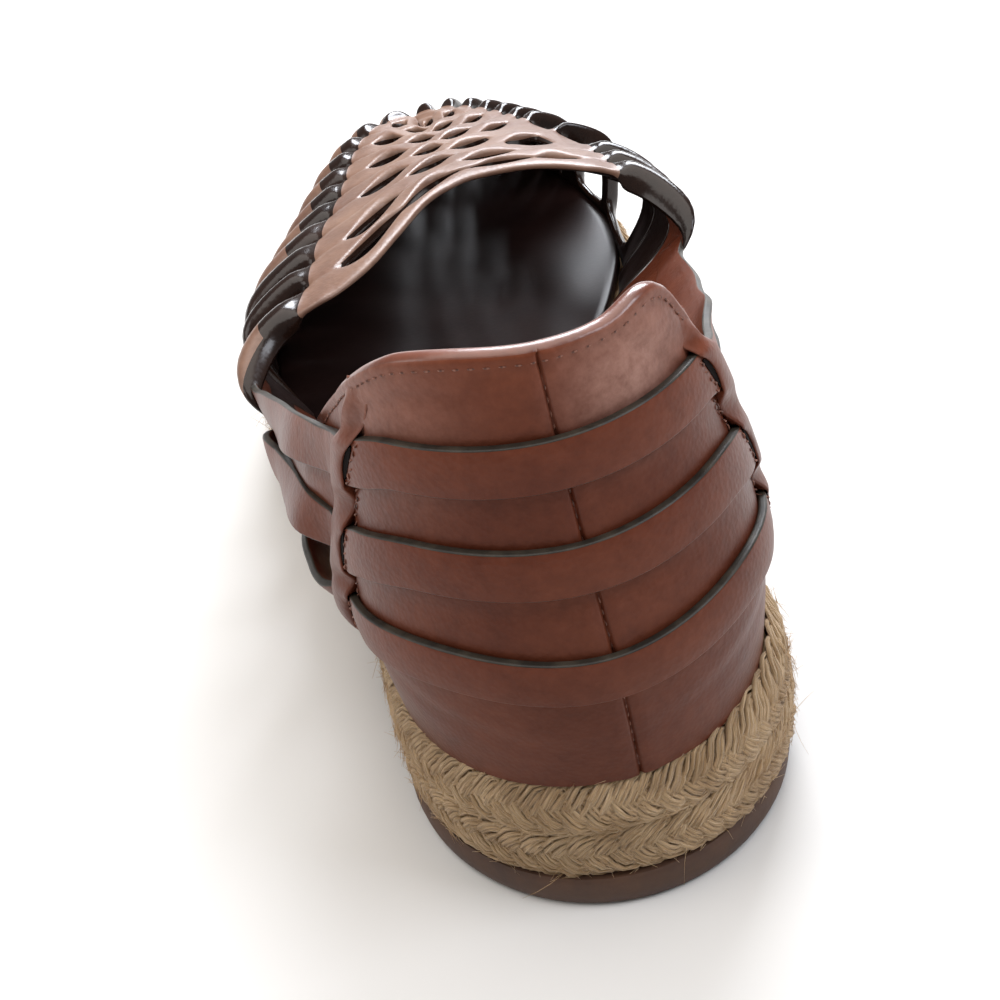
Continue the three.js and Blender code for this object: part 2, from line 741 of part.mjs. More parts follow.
// Finishes
const finishes = {
  rubber: { color: 0x5b3a28, roughness: 0.7, metalness: 0 },
  jute: { color: 0xb99c6c, roughness: 0.95, metalness: 0 },
  footbed: { color: 0x241917, roughness: 0.3, metalness: 0 },
  leather: { color: 0x7a4a3c, roughness: 0.45, metalness: 0 },
};

function piece(name, geometry, finish) {
  geometry.computeVertexNormals();
  const mesh = new THREE.Mesh(geometry, new THREE.MeshStandardMaterial(finish));
  mesh.name = name;
  return mesh;
}

const shoe = new THREE.Group();
shoe.add(piece('outsole', outsoleGeometry(), finishes.rubber));
shoe.add(piece('jute_midsole', juteGeometry(), finishes.jute));
shoe.add(piece('insole', insoleGeometry(), finishes.footbed));
shoe.add(piece('vamp', vampGrid(), finishes.leather));
shoe.add(piece('heel_counter', counterGeometry(), finishes.leather));
for (const strap of STRAPS) {
  shoe.add(piece(strap.name, strapGeometry(strap), finishes.leather));
}

// The origin lies on the floor under the middle of the shoe
const box = new THREE.Box3().setFromObject(shoe);
const centre = box.getCenter(new THREE.Vector3());
shoe.position.set(-centre.x, -centre.y, -box.min.z);
shoe.updateMatrixWorld(true);

export default shoe;
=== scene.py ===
import bisect
import math
import random

import bmesh
import bpy
from mathutils import Matrix, Vector, noise


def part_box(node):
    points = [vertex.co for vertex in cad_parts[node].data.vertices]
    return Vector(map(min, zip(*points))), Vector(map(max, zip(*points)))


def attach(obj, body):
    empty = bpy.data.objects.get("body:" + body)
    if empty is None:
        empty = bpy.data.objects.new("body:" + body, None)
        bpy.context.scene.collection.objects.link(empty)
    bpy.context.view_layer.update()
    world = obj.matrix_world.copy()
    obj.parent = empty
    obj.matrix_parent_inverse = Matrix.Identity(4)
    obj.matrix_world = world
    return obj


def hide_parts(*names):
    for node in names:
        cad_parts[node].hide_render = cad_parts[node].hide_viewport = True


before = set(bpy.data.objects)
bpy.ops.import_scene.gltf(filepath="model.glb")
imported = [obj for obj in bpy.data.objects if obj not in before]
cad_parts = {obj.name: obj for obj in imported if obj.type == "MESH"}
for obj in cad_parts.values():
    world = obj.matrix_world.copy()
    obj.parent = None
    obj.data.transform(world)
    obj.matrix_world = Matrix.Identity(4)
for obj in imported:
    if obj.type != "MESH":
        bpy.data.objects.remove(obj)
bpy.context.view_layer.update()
print("frame loaded:", ", ".join(sorted(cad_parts)))

# the last, in millimetres: heel at y 0, toe at y 243, inner side of the foot at +x
last = dict(length=243.0, heelRound=34.0, toeRound=95.0, toeSpring=5.0, springStart=165.0, outsole=5.7,
            fitGap=0.3, feather=2.8, wall=2.0, roundQuarter=46.0, flareOuter=0.13, flareInner=0.25,
            flareRise=30.0, flareMost=1.2)
outline = [  # along, middle line, half width
    (0, 0, 31.2), (39, -0.4, 31.2), (61, -1.0, 30.2), (80, -1.9, 29.3), (99, -3.6, 29.6), (112, -4.2, 31.8),
    (123, -3.9, 35.4), (134, -2.4, 40.0), (147, -0.2, 43.4), (160, 3.0, 45.2), (175, 6.0, 45.6),
    (190, 8.2, 45.0), (210, 9.8, 43.6), (243, 10.5, 42.0)]
soleRise = [(0, 24.0), (40, 24.0), (95, 21.4), (145, 18.6), (243, 17.6)]  # along, top of the jute
heelCurve = [  # height, inset from the sole's edge
    (20, 3.1), (24, 2.8), (36, 1.5), (45, 1.3), (54, 2.4), (64, 4.3), (80, 6.8), (95, 8.0)]


def read(table, at, column=1):
    end = len(table) - 1
    place = min(max(at, table[0][0]), table[end][0])
    i = 0
    while i < end - 1 and place > table[i + 1][0]:
        i += 1
    rows = table[max(i - 1, 0)], table[i], table[i + 1], table[min(i + 2, end)]
    span = rows[2][0] - rows[1][0]
    slopeA = (rows[2][column] - rows[0][column]) / (rows[2][0] - rows[0][0])
    slopeB = (rows[3][column] - rows[1][column]) / (rows[3][0] - rows[1][0])
    t = (place - rows[1][0]) / span
    s = 1 - t
    return (s * s * (1 + 2 * t) * rows[1][column] + t * t * (1 + 2 * s) * rows[2][column]
            + t * s * (s * slopeA - t * slopeB) * span)


def mix(a, b, share):
    return a + (b - a) * share


def spaced(first, final, count):
    return [mix(first, final, i / count) for i in range(count + 1)]


def climb(value, start, run):
    # from 0 to 1 with soft ends, over the run after the start; settings hold the two as a pair
    t = min(max((value - start) / run, 0.0), 1.0)
    return t * t * (3 - 2 * t)


def bell(value, width):
    return math.exp(-(value / width) ** 2)


def bells(value, rows):
    # rows of height, place and width
    return sum(high * bell(value - place, width) for high, place, width in rows)


def floorLine(y):
    t = max(y - last["springStart"], 0) / (last["length"] - last["springStart"])
    return last["toeSpring"] * t * t


def soleTop(y):
    return floorLine(y) + read(soleRise, y)


def edgeX(y, side, inset):
    heel = max(last["heelRound"] - y, 0) / (last["heelRound"] - inset)
    toe = max(y - (last["length"] - last["toeRound"]), 0) / (last["toeRound"] - inset)
    rounding = math.sqrt(max(1 - heel * heel - toe * toe, 0))
    return read(outline, y) + side * (read(outline, y, 2) - inset) * rounding


def heelPoint(around, height, out):
    # a point of the heel wall, by the way round from the back seam and the height
    side = -1 if around < 0 else 1
    way = abs(around)
    inset = read(heelCurve, height) - out
    quarter = last["roundQuarter"]
    if way <= quarter:
        angle = math.pi / 2 * way / quarter
        y = last["heelRound"] - (last["heelRound"] - inset) * math.cos(angle)
        x = read(outline, y) + side * (read(outline, y, 2) - inset) * math.sin(angle)
        return Vector((x, y, height))
    y = last["heelRound"] + way - quarter
    rise = min(max((height - soleTop(y)) / last["flareRise"], 0), last["flareMost"])
    flare = last["flareOuter"] if side < 0 else last["flareInner"]
    return Vector((edgeX(y, side, inset) + side * flare * (y - last["heelRound"]) * rise, y, height))


soleLow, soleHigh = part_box("outsole")
halves = range(2 * round(last["length"]) + 1)  # every half millimetre along the sole
innerReach = max(edgeX(half / 2, 1, 0) for half in halves)
originShift = Vector((innerReach - 1000 * soleHigh[0], -1000 * soleLow[1], 0))


def toFrame(point):
    return (point - originShift) / 1000


# materials
def linear(code):
    parts = [int(code[i:i + 2], 16) / 255 for i in (1, 3, 5)]
    return tuple(c / 12.92 if c <= 0.04045 else ((c + 0.055) / 1.055) ** 2.4 for c in parts) + (1.0,)


def add(tree, kind, inputs=None, stops=None, **settings):
    made = tree.nodes.new("ShaderNode" + kind)
    for key, value in settings.items():
        setattr(made, key, value)
    for key, value in (inputs or {}).items():
        if isinstance(value, bpy.types.NodeSocket):
            tree.links.new(value, made.inputs[key])
        else:
            made.inputs[key].default_value = value
    if stops:
        elements = made.color_ramp.elements
        while len(elements) < len(stops):
            elements.new(0.5)
        for element, (place, code) in zip(elements, stops):
            element.position, element.color = place, linear(code)
    return made


def newTree(name):
    material = bpy.data.materials.new(name)
    material.use_nodes = True
    material.node_tree.nodes.clear()
    return material, material.node_tree


def finishTree(material, sockets):
    shader = add(material.node_tree, "BsdfPrincipled", sockets)
    add(material.node_tree, "OutputMaterial", {"Surface": shader.outputs["BSDF"]})
    return material


def objectPlace(tree):
    return add(tree, "TexCoord").outputs["Object"]


def grain(tree, place, scale, detail, roughness=0.5):
    made = add(tree, "TexNoise", {"Vector": place, "Scale": scale, "Detail": detail, "Roughness": roughness})
    return made.outputs["Fac"]


def ramp(tree, share, *stops):
    return add(tree, "ValToRGB", {"Fac": share}, stops=stops).outputs["Color"]


def blend(tree, share, first, second, kind="MIX"):
    made = add(tree, "Mix", {0: share, 6: first, 7: second}, data_type="RGBA", blend_type=kind)
    return made.outputs[2]


def remap(tree, value, start, end, low, high, kind="LINEAR"):
    made = add(tree, "MapRange", {"Value": value, "From Min": start, "From Max": end, "To Min": low,
                                  "To Max": high}, interpolation_type=kind)
    return made.outputs["Result"]


def relief(tree, height, strength, depth):  # depth in millimetres
    made = add(tree, "Bump", {"Height": height, "Strength": strength, "Distance": depth / 1000})
    return made.outputs["Normal"]


# painted light on the brown leather: darker towards the sole, paler towards the top, and pale patches as
# painted highlights
paintedLight = dict(shade=(0.026, 0.095, 0.73, 1.1),  # painted shade low, painted light high: low and high place in metres, share of the colour at each
            sheenPatches=[((0.0066, -0.1114, 0.0855), 0.015, 0.75), ((-0.0245, -0.101, 0.084), 0.02, 0.3)],
            colour="#c9a294")  # painted highlights: place, reach and how much of this pale colour


# full-grain calf leather, drum dyed and waxed: cloudy brown with small pores and a soft sheen
def calfLeather(name, dark, pale, gloss, shine, coat, grainDepth, cloudy=0.06, lightPaint=None):
    material, tree = newTree(name)
    place = objectPlace(tree)
    cloud = grain(tree, place, 1000 / 26, 5, 0.62)
    fibre = grain(tree, place, 1000 / 2.4, 6, 0.7)
    pore = add(tree, "TexVoronoi", {"Vector": place, "Scale": 1000 / 0.9}, feature="F1")  # drawn at 0.9 mm
    patch = ramp(tree, cloud, (0.32, dark), (0.68, pale))
    speck = ramp(tree, fibre, (0.3, "#c9c2be"), (0.62, "#ffffff"))
    colour = blend(tree, 0.55, patch, speck, "MULTIPLY")
    if lightPaint is not None:  # painted shade by the sole, painted light towards the top, and painted highlights in places
        height = add(tree, "SeparateXYZ", {"Vector": place}).outputs["Z"]
        colour = blend(tree, 1.0, colour, remap(tree, height, *paintedLight["shade"]), "MULTIPLY")
        for centre, reach, most in lightPaint:
            away = add(tree, "VectorMath", {0: place, 1: centre}, operation="DISTANCE").outputs["Value"]
            near = remap(tree, away, reach, 0.0, 0.0, most, "SMOOTHSTEP")
            thin = add(tree, "Math", {0: near, 1: fibre}, operation="MULTIPLY").outputs["Value"]
            colour = blend(tree, thin, colour, linear(paintedLight["colour"]))
    height = add(tree, "Math", {0: pore.outputs["Distance"], 1: fibre}, operation="ADD").outputs["Value"]
    return finishTree(material, {
        "Base Color": colour, "Roughness": remap(tree, cloud, 0.3, 0.7, gloss - cloudy, gloss + cloudy),
        "Normal": relief(tree, height, 0.35, grainDepth), "IOR": 1.5, "Specular IOR Level": shine,
        "Coat Weight": coat, "Coat Roughness": 0.2, "Coat IOR": 1.45})


# name, dark and pale colour, roughness, specular level, coat, depth of the grain in millimetres
browns = "#613020", "#76402c"
upperLeather = calfLeather("calfLeatherUpper", *browns, 0.38, 0.15, 0.0, 0.12, lightPaint=[])  # smooth brown, darker low and paler high as painted shade and light
counterLeather = calfLeather(  # the same, with painted highlights at the top
    "calfLeatherCounter", *browns, 0.38, 0.14, 0.0, 0.12, lightPaint=paintedLight["sheenPatches"])
panelLeather = calfLeather("calfLeatherPanel", "#6f4f41", "#8a6a57", 0.4, 0.5, 0.0, 0.1)  # paler: the pale tone is painted sheen from the light, with a dry shine
rollLeather = calfLeather("darkShadedRoll", "#170e0b", "#301d15", 0.19, 0.3, 0.08, 0.06)  # near black: a darker leather, with painted shade where the rolls face away from the light
liningLeather = calfLeather("pigskinLining", "#1d1210", "#2c1b17", 0.5, 0.2, 0.0, 0.12)  # dark and dull
footbedLeather = calfLeather("waxedFootbed", "#1a0f0e", "#241614", 0.35, 0.125, 0.0, 0.02, 0.0)  # even sheen
foldLeather = calfLeather("burnishedFold", *browns, 0.3, 0.6, 0.2, 0.06)  # edges polished by wear
slotShade = calfLeather("paintedSlotShade", "#0c0706", "#120a08", 0.85, 0.05, 0.0, 0.02)  # nearly black: painted shade for the slot mouths


# cut edge of the straps, dyed and burnished: grey-olive, smooth and shiny
def burnishedEdge():
    material, tree = newTree("burnishedCutEdge")
    streak = grain(tree, objectPlace(tree), 1000 / 3, 4)
    return finishTree(material, {
        "Base Color": ramp(tree, streak, (0.35, "#1f1b16"), (0.7, "#3d372e")), "Roughness": 0.46, "IOR": 1.5,
        "Specular IOR Level": 0.4, "Normal": relief(tree, streak, 0.3, 0.2)})


# waxed polyester thread, brown: dull with a fine twist
def waxedThread():
    material, tree = newTree("waxedThread")
    twist = add(tree, "TexWave", {"Vector": objectPlace(tree), "Scale": 1000 / 2.0, "Distortion": 2.0})
    return finishTree(material, {
        "Base Color": ramp(tree, twist.outputs["Fac"], (0.2, "#5e3a2e"), (0.8, "#8a5a48")),
        "Roughness": 0.6, "IOR": 1.5})


# jute yarn, retted and loosely spun: dull straw with pale and dark fibres along the strand
def juteYarn():
    material, tree = newTree("spunJute")
    uv = add(tree, "TexCoord").outputs["UV"]  # millimetres along and round the strand
    stretched = add(tree, "Mapping", {"Vector": uv, "Scale": (1 / 5, 1 / 0.42, 1)})  # fibres drawn at 0.42 mm
    fibre = grain(tree, stretched.outputs["Vector"], 1.0, 5, 0.65)
    colour = ramp(tree, fibre, (0.28, "#755a3c"), (0.43, "#bb986e"), (0.58, "#dbbc92"), (0.76, "#fdebca"))
    batch = grain(tree, objectPlace(tree), 1000 / 9, 3)
    tint = ramp(tree, batch, (0.35, "#cfc2ad"), (0.65, "#ffffff"))
    return finishTree(material, {
        "Base Color": blend(tree, 0.7, colour, tint, "MULTIPLY"), "Roughness": 0.88, "IOR": 1.45,
        "Sheen Weight": 0.25, "Sheen Roughness": 0.5, "Normal": relief(tree, fibre, 0.9, 0.6)})


# moulded rubber sheet with a cut edge: dark brown, dull, with fine scratches and dust
def mouldedRubber():
    material, tree = newTree("mouldedRubber")
    place = objectPlace(tree)
    dust = grain(tree, place, 1000 / 12, 6, 0.7)
    grit = grain(tree, place, 1000 / 0.9, 3)
    return finishTree(material, {
        "Base Color": ramp(tree, dust, (0.35, "#40291d"), (0.7, "#563a28")), "IOR": 1.52,
        "Roughness": remap(tree, dust, 0.0, 1.0, 0.48, 0.75), "Normal": relief(tree, grit, 0.3, 0.2)})


cutEdge = burnishedEdge()
thread = waxedThread()
jute = juteYarn()
rubber = mouldedRubber()
print("materials made")


# meshes
def meshObject(name, verts, faces, materials, marks=None, uvs=None, sharp=None):
    mesh = bpy.data.meshes.new(name)
    mesh.from_pydata([toFrame(v) for v in verts], [], faces)
    if uvs:
        layer = mesh.uv_layers.new(name="millimetres")
        layer.data.foreach_set("uv", [value for pair in uvs for value in pair])
    if marks:
        mesh.polygons.foreach_set("material_index", marks)
    for material in materials:
        mesh.materials.append(material)
    mesh.validate()
    work = bmesh.new()
    work.from_mesh(mesh)
    bmesh.ops.recalc_face_normals(work, faces=work.faces)
    work.to_mesh(mesh)
    work.free()
    mesh.polygons.foreach_set("use_smooth", [True] * len(mesh.polygons))
    if sharp:
        mesh.set_sharp_from_angle(angle=math.radians(sharp))
    made = bpy.data.objects.new(name, mesh)
    bpy.context.scene.collection.objects.link(made)
    return made


def settle(made, slotName, *nodes):
    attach(made, "root")
    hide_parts(*nodes)
    print(made.name, len(made.data.polygons), "faces")


def tubeFaces(rowCount, sides, start=0, capped=True, closed=False):
    faces = []
    for r in range(rowCount if closed else rowCount - 1):
        low, high = start + r * sides, start + (r + 1) % rowCount * sides
        for c in range(sides):
            d = (c + 1) % sides
            faces.append((low + c, low + d, high + d, high + c))
    if capped:
        faces.append(tuple(start + c for c in reversed(range(sides))))
        faces.append(tuple(start + (rowCount - 1) * sides + c for c in range(sides)))
    return faces


def soleRing(inset, heightAt, steps=90):
    ring = []
    for i in range(2 * steps):
        y = inset + (last["length"] - 2 * inset) * (1 - math.cos(math.pi * i / steps)) / 2
        ring.append(Vector((edgeX(y, 1 if i < steps else -1, inset), y, heightAt(y))))
    return ring


def flatten(rings):
    return [point for ring in rings for point in ring]


def tubeObject(name, rings, materials, **more):
    return meshObject(name, flatten(rings), tubeFaces(len(rings), len(rings[0])), materials, **more)


def wayLengths(points):
    lengths = [0.0]
    for a, b in zip(points, points[1:]):
        lengths.append(lengths[-1] + (b - a).length)
    return lengths


def findSpan(lengths, goal):
    # the span of a way that holds this distance, and the share of it that is passed there
    i = min(max(bisect.bisect_left(lengths, goal) - 1, 0), len(lengths) - 2)
    return i, (goal - lengths[i]) / max(lengths[i + 1] - lengths[i], 1e-9)


def ringStack(name, rings, materials, sharp=None):
    count = len(rings[0])
    faces = tubeFaces(len(rings), count, capped=False)
    top = (len(rings) - 1) * count
    for i in range(count // 2):
        corners = list(dict.fromkeys((i, i + 1, count - i - 1, (count - i) % count)))
        faces.append(tuple(reversed(corners)))
        faces.append(tuple(top + c for c in corners))
    return meshObject(name, flatten(rings), faces, materials, sharp=sharp)


# outsole
outsoleSizes = dict(bevel=1.2, bevelRound=(0.35, 0.3), bulge=0.25, topRound=0.5, sharp=40)


def buildOutsole():
    thick, bevel, top = last["outsole"], outsoleSizes["bevel"], outsoleSizes["topRound"]
    inward, upward = outsoleSizes["bevelRound"]
    profile = [(bevel, 0), (inward * bevel, upward * bevel), (0, bevel), (-outsoleSizes["bulge"], thick / 2),
               (0, thick - top), (top, thick)]
    rings = [soleRing(inset, lambda y, lift=lift: floorLine(y) + lift) for inset, lift in profile]
    settle(ringStack("outsoleSheet", rings, [rubber], outsoleSizes["sharp"]), "outsole_rubber", "outsole")


# jute midsole: a core and two rounds of three-strand braid, eight yarns to a strand
braid = dict(rounds=2, strands=3, yarns=8, period=11.6, steps=12, sides=5, strandShare=0.5, yarnShare=0.094,
             sway=0.4, seat=0.62, swing=0.8, reachBack=-0.4, reachOuter=0.4, reachInner=1.9, reachPower=1.5,
             fade=(50, 50), coreInset=2.0, coreLevels=(0.0, 0.5, 0.9), coreSharp=40, turnIn=1.7,
             turnUp=0.5, crown=1.9, crownHalf=4, pitch=1.7, lump=0.22, lumpSize=0.9, stray=0.34,
             straySteps=(0.23, 7.1, 3.3, 5.7), waySteps=900, uvAlong=1.3, uvTwist=0.5, uvRound=1.1,
             uvShift=(13, 37, 91), hairEvery=3)
hair = dict(seed=11, width=0.055, taper=0.6, root=0.12, lowest=0.3, tilt=0.8, droop=(-1.2, 0.5),
            corners=(0, 2.09, 4.19), uvStep=0.3, kinds=[
                dict(count=11500, length=(0.8, 3.2), rise=(-0.05, 0.25), curl=0.25, points=3),  # short fuzz
                dict(count=110, length=(4.0, 8.0), rise=(0.1, 0.6), curl=0.4, points=4)])  # loose fibres


def juteLevel(y, share):
    bottom = floorLine(y) + last["outsole"] + last["fitGap"]
    return mix(bottom, soleTop(y), share)


def soleWay(count):
    # evenly spaced points round the sole's edge with their outward directions
    ring = soleRing(0, lambda y: 0, braid["waySteps"])
    ring.append(ring[0])
    lengths = wayLengths(ring)
    way, normals = [], []
    for i in range(count):
        at, share = findSpan(lengths, lengths[-1] * i / count)
        way.append(ring[at].lerp(ring[at + 1], share))
    for i in range(count):
        run = way[(i + 1) % count] - way[i - 1]
        normals.append(Vector((run.y, -run.x, 0)).normalized())
    return way, normals, lengths[-1]


def braidReach(y, flat):
    # how far the braid stands out of the sole's edge, by the place along it and the direction outward
    side = braid["reachOuter"]
    if flat.x > 0:
        side = mix(braid["reachInner"], braid["reachBack"], climb(y, *braid["fade"]))
    return mix(braid["reachBack"], side, abs(flat.x) ** braid["reachPower"])


def strandLine(way, normals, level, strand):
    # middle line of one strand, swaying up and down and in and out, with half the height of its round
    line = []
    for i, spot in enumerate(way):
        half = (juteLevel(spot.y, 1) - juteLevel(spot.y, 0)) / (2 * braid["rounds"])
        radius = half * braid["strandShare"]
        phase = 2 * math.pi * (i / braid["steps"] + strand / braid["strands"] + 0.5 * level)
        inset = braid["seat"] * radius + braid["sway"] * (1 - math.sin(2 * phase))
        inset -= braidReach(spot.y, normals[i])
        over = level * max(math.sin(phase), 0) ** 2  # the upper round turns in over the top edge
        centre = spot - normals[i] * (inset + braid["turnIn"] * over)
        centre.z = juteLevel(spot.y, (level + 0.5) / braid["rounds"])
        centre.z += (half - braid["swing"] * radius) * math.sin(phase)
        centre.z += braid["turnUp"] * over
        line.append((centre, half))
    return line


def spinYarn(line, normals, level, strand, yarn):
    # one yarn along its strand: rings of points, and the tops that hairs grow from
    byStep, byYarn, byStrand, byLevel = braid["straySteps"]
    shift = yarn - (braid["yarns"] - 1) / 2
    rings, tops = [], []
    for i, (middle, half) in enumerate(line):
        run = (line[(i + 1) % len(line)][0] - line[i - 1][0]).normalized()
        out = (normals[i] - run * normals[i].dot(run)).normalized()
        rise = run.cross(out)
        radius = half * braid["yarnShare"]
        draw = Vector((i * byStep, yarn * byYarn + strand * byStrand, level * byLevel))
        stray = braid["stray"] * noise.noise(draw)
        crown = braid["crown"] * radius * (1 - (shift / braid["crownHalf"]) ** 2)
        centre = middle + rise * (shift * radius * braid["pitch"] + stray) + out * (crown + stray)
        ring = []
        for c in range(braid["sides"]):
            angle = 2 * math.pi * c / braid["sides"]
            flat = out * math.cos(angle) + rise * math.sin(angle)
            spot = centre + flat * radius
            ring.append(spot + flat * braid["lump"] * noise.noise(spot / braid["lumpSize"]))
        rings.append(ring)
        if i % braid["hairEvery"] == 0:
            tops.append((centre + out * radius, out, run))
    return rings, tops


def buildJute():
    core = [soleRing(braid["coreInset"], lambda y, share=share: juteLevel(y, share))
            for share in braid["coreLevels"]]
    settle(ringStack("juteCore", core, [jute], braid["coreSharp"]), "jute_braid", "jute_midsole")
    edgeLength = soleWay(1)[2]
    count = round(edgeLength / braid["period"]) * braid["steps"]
    way, normals, _ = soleWay(count)
    step, sides = edgeLength / count, braid["sides"]
    around = 2 * math.pi * braid["uvRound"] / sides
    uvYarn, uvStrand, uvLevel = braid["uvShift"]
    allTops = []
    for level in range(braid["rounds"]):
        verts, faces, uvs = [], [], []
        for strand in range(braid["strands"]):
            line = strandLine(way, normals, level, strand)
            for yarn in range(braid["yarns"]):
                rings, tops = spinYarn(line, normals, level, strand, yarn)
                faces += tubeFaces(count, sides, len(verts), capped=False, closed=True)
                verts += flatten(rings)
                allTops += tops
                uvStart = yarn * uvYarn + strand * uvStrand + level * uvLevel
                uvs += [(a * step * braid["uvAlong"], b * around + a * step * braid["uvTwist"] + uvStart)
                        for i in range(count) for c in range(sides)
                        for a, b in ((i, c), (i, c + 1), (i + 1, c + 1), (i + 1, c))]
        made = meshObject("juteBraid" + ("Lower", "Upper")[level], verts, faces, [jute], uvs=uvs)
        settle(made, "jute_braid", "jute_midsole")
    buildHairs(allTops)


def buildHairs(tops):
    draw = random.Random(hair["seed"])
    verts, faces = [], []
    for kind in [kind for kind in hair["kinds"] for n in range(kind["count"])]:
        spot, flat, run = draw.choice(tops)
        reach = draw.uniform(*kind["length"])
        lean = (run * draw.choice((-1, 1)) + flat * draw.uniform(*kind["rise"])
                + Vector((0, 0, draw.uniform(-hair["tilt"], hair["tilt"])))).normalized()
        curl = Vector((draw.uniform(-1, 1), draw.uniform(-1, 1), draw.uniform(*hair["droop"])))
        curl *= kind["curl"]
        start, points = len(verts), kind["points"]
        across = lean.cross(flat).normalized()
        for k in range(points):
            t = k / (points - 1)
            along = spot + flat * hair["root"] + lean * reach * t + curl * reach * t * t
            along.z = max(along.z, hair["lowest"])
            thick = hair["width"] * (1.0 - hair["taper"] * t)
            for angle in hair["corners"]:
                verts.append(along + across * thick * math.cos(angle) + flat * thick * math.sin(angle))
        faces += tubeFaces(points, len(hair["corners"]), start)
    cornerCount = sum(len(face) for face in faces)
    uvs = [(hair["uvStep"] * i, 0.0) for i in range(cornerCount)]  # a new tone for each corner
    settle(meshObject("juteHairs", verts, faces, [jute], uvs=uvs), "jute_braid", "jute_midsole")


# insole: a thin footbed with a rolled edge and a slight dish
insole = dict(inset=4.9, thick=2.6, rounding=0.7, topRound=0.25, edgeShares=(0.994, 0.98), dish=1.0,
              dishShares=(0.93, 0.84, 0.7, 0.52, 0.32, 0.12), heelSpine=26.0, toeSpine=50.0, sharp=50)


def buildInsole():
    edge = soleRing(insole["inset"], lambda y: 0)
    thick, (outerShare, innerShare) = insole["thick"], insole["edgeShares"]
    profile = [(1.0, 0.0), (1.0, thick - insole["rounding"]), (outerShare, thick - insole["topRound"]),
               (innerShare, thick)]
    profile += [(s, thick - insole["dish"] * (1 - s * s)) for s in insole["dishShares"]]
    rings = []
    for s, lift in profile:
        ring = []
        for point in edge:
            spineY = min(max(point.y, insole["heelSpine"]), last["length"] - insole["toeSpine"])
            spot = Vector((read(outline, spineY), spineY, 0)).lerp(point, s)
            spot.z = soleTop(spot.y) + last["fitGap"] + lift
            ring.append(spot)
        rings.append(ring)
    settle(ringStack("footbed", rings, [footbedLeather], insole["sharp"]), "footbed_leather", "insole")


# vamp: one sheet of leather strips with a rail each side of the openwork
vamp = dict(throatY=149.0, ridgeEndY=222.0, ridgeX=10.5, strips=11, tuckStart=0.55, toeSwell=1.0,
            eyeOpen=0.4, eyeShut=0.02, eyeEdge=0.12, sideOpen=0.07, rearOpen=(0, 0.24, 0.16),
            sideRoll=2.8, lowRoll=1.3, low=(0.5, 0.3), sink=1.3, rail=0.6, railEnd=0.75, railTurn=0.36,
            centreRoll=0.5, sway=0.45, crownBase=0.85, crownShare=0.15, dip=0.5, paleTurn=0.45,
            throatWall=(0.9, 1.1, 1.5), liningLift=0.3, weld=0.02, perColumn=3, footSteps=600,
            spread=(0, 0.1, 0.28, 0.5, 0.72, 0.9, 1),  # rows of a strip: place, height, height at the throat
            roll=(-1, 0.35, 0.85, 1, 0.85, 0.35, -1), rearRoll=(0.0, 0.25, 0.45, 0.55, 0.45, 0.25, -0.2),
            turns=dict(foot=(1.0, 0.975),
                       side=(0.93, 0.87, 0.81, 0.75, 0.69, 0.63, 0.57, 0.51, 0.45, 0.4, 0.362),
                       rail=(0.335, 0.3, 0.262)),
            sagBack=8.0, sagOut=2.0, sagSide=(0.42, 0.2), sagOutSide=(0.58, 0.2), sagFoot=(0.8, 0.2),
            sagFootShare=0.6, sagStrips=3, sagFade=6)
ridge = [  # along, height of the top line
    (149, 52.5), (160, 51.0), (176, 48.0), (190, 45.0), (201, 42.4), (209, 40.2), (216, 37.8), (222, 35.2)]
vampSides = {-1: dict(start=106, swell=19, fade=4, column=1),
             1: dict(start=122, swell=28, fade=2.5, column=2)}
sectionPower = [  # share of the way to the toe, outer side, inner side
    (0, 3.2, 3.2), (0.2, 2.5, 2.9), (0.45, 2.1, 2.5), (0.75, 2.5, 2.6), (1, 3.0, 3.0)]
throat = [  # way across from the top line, way back on the outer and the inner side
    (0, 0, 0), (0.14, 0.12, 0.02), (0.27, 0.37, 0.06), (0.4, 0.61, 0.15), (0.55, 0.76, 0.31),
    (0.75, 0.83, 0.58), (1, 1, 1)]
innerStrips = [(0, 0.95), (1.05, 1.95), (2.05, 2.85), (4.65, 4.92)]  # rear and front edges, then even ones
innerRest = dict(start=6.1, opening=0.06)
centreTurns = [(0, 0), (1, 0.025), (2, 0.065), (3, 0.115), (4, 0.17), (5, 0.24)]
eyes = {"first": [(-3.75, 1.3), (-1.2, 1.0), (1.7, 1.2), (4.1, 0.8)],  # centre and half width in columns
        "even": [(-3.85, 1.15), (1.5, 1.2)], "odd": [(-1.15, 1.2), (4.1, 0.95)]}


def featherWay(side):
    start, tip = vampSides[side]["start"], last["length"] - last["feather"]
    points = []
    for share in spaced(0, 1, vamp["footSteps"]):
        y = start + (tip - start) * math.sin(math.pi / 2 * share)
        points.append(Vector((edgeX(y, side, last["feather"]), y)))
    return points, wayLengths(points)


featherWays = {side: featherWay(side) for side in (-1, 1)}


def featherAt(side, share):
    points, lengths = featherWays[side]
    at, part = findSpan(lengths, min(max(share, 0), 1) * lengths[-1])
    return points[at].lerp(points[at + 1], part)


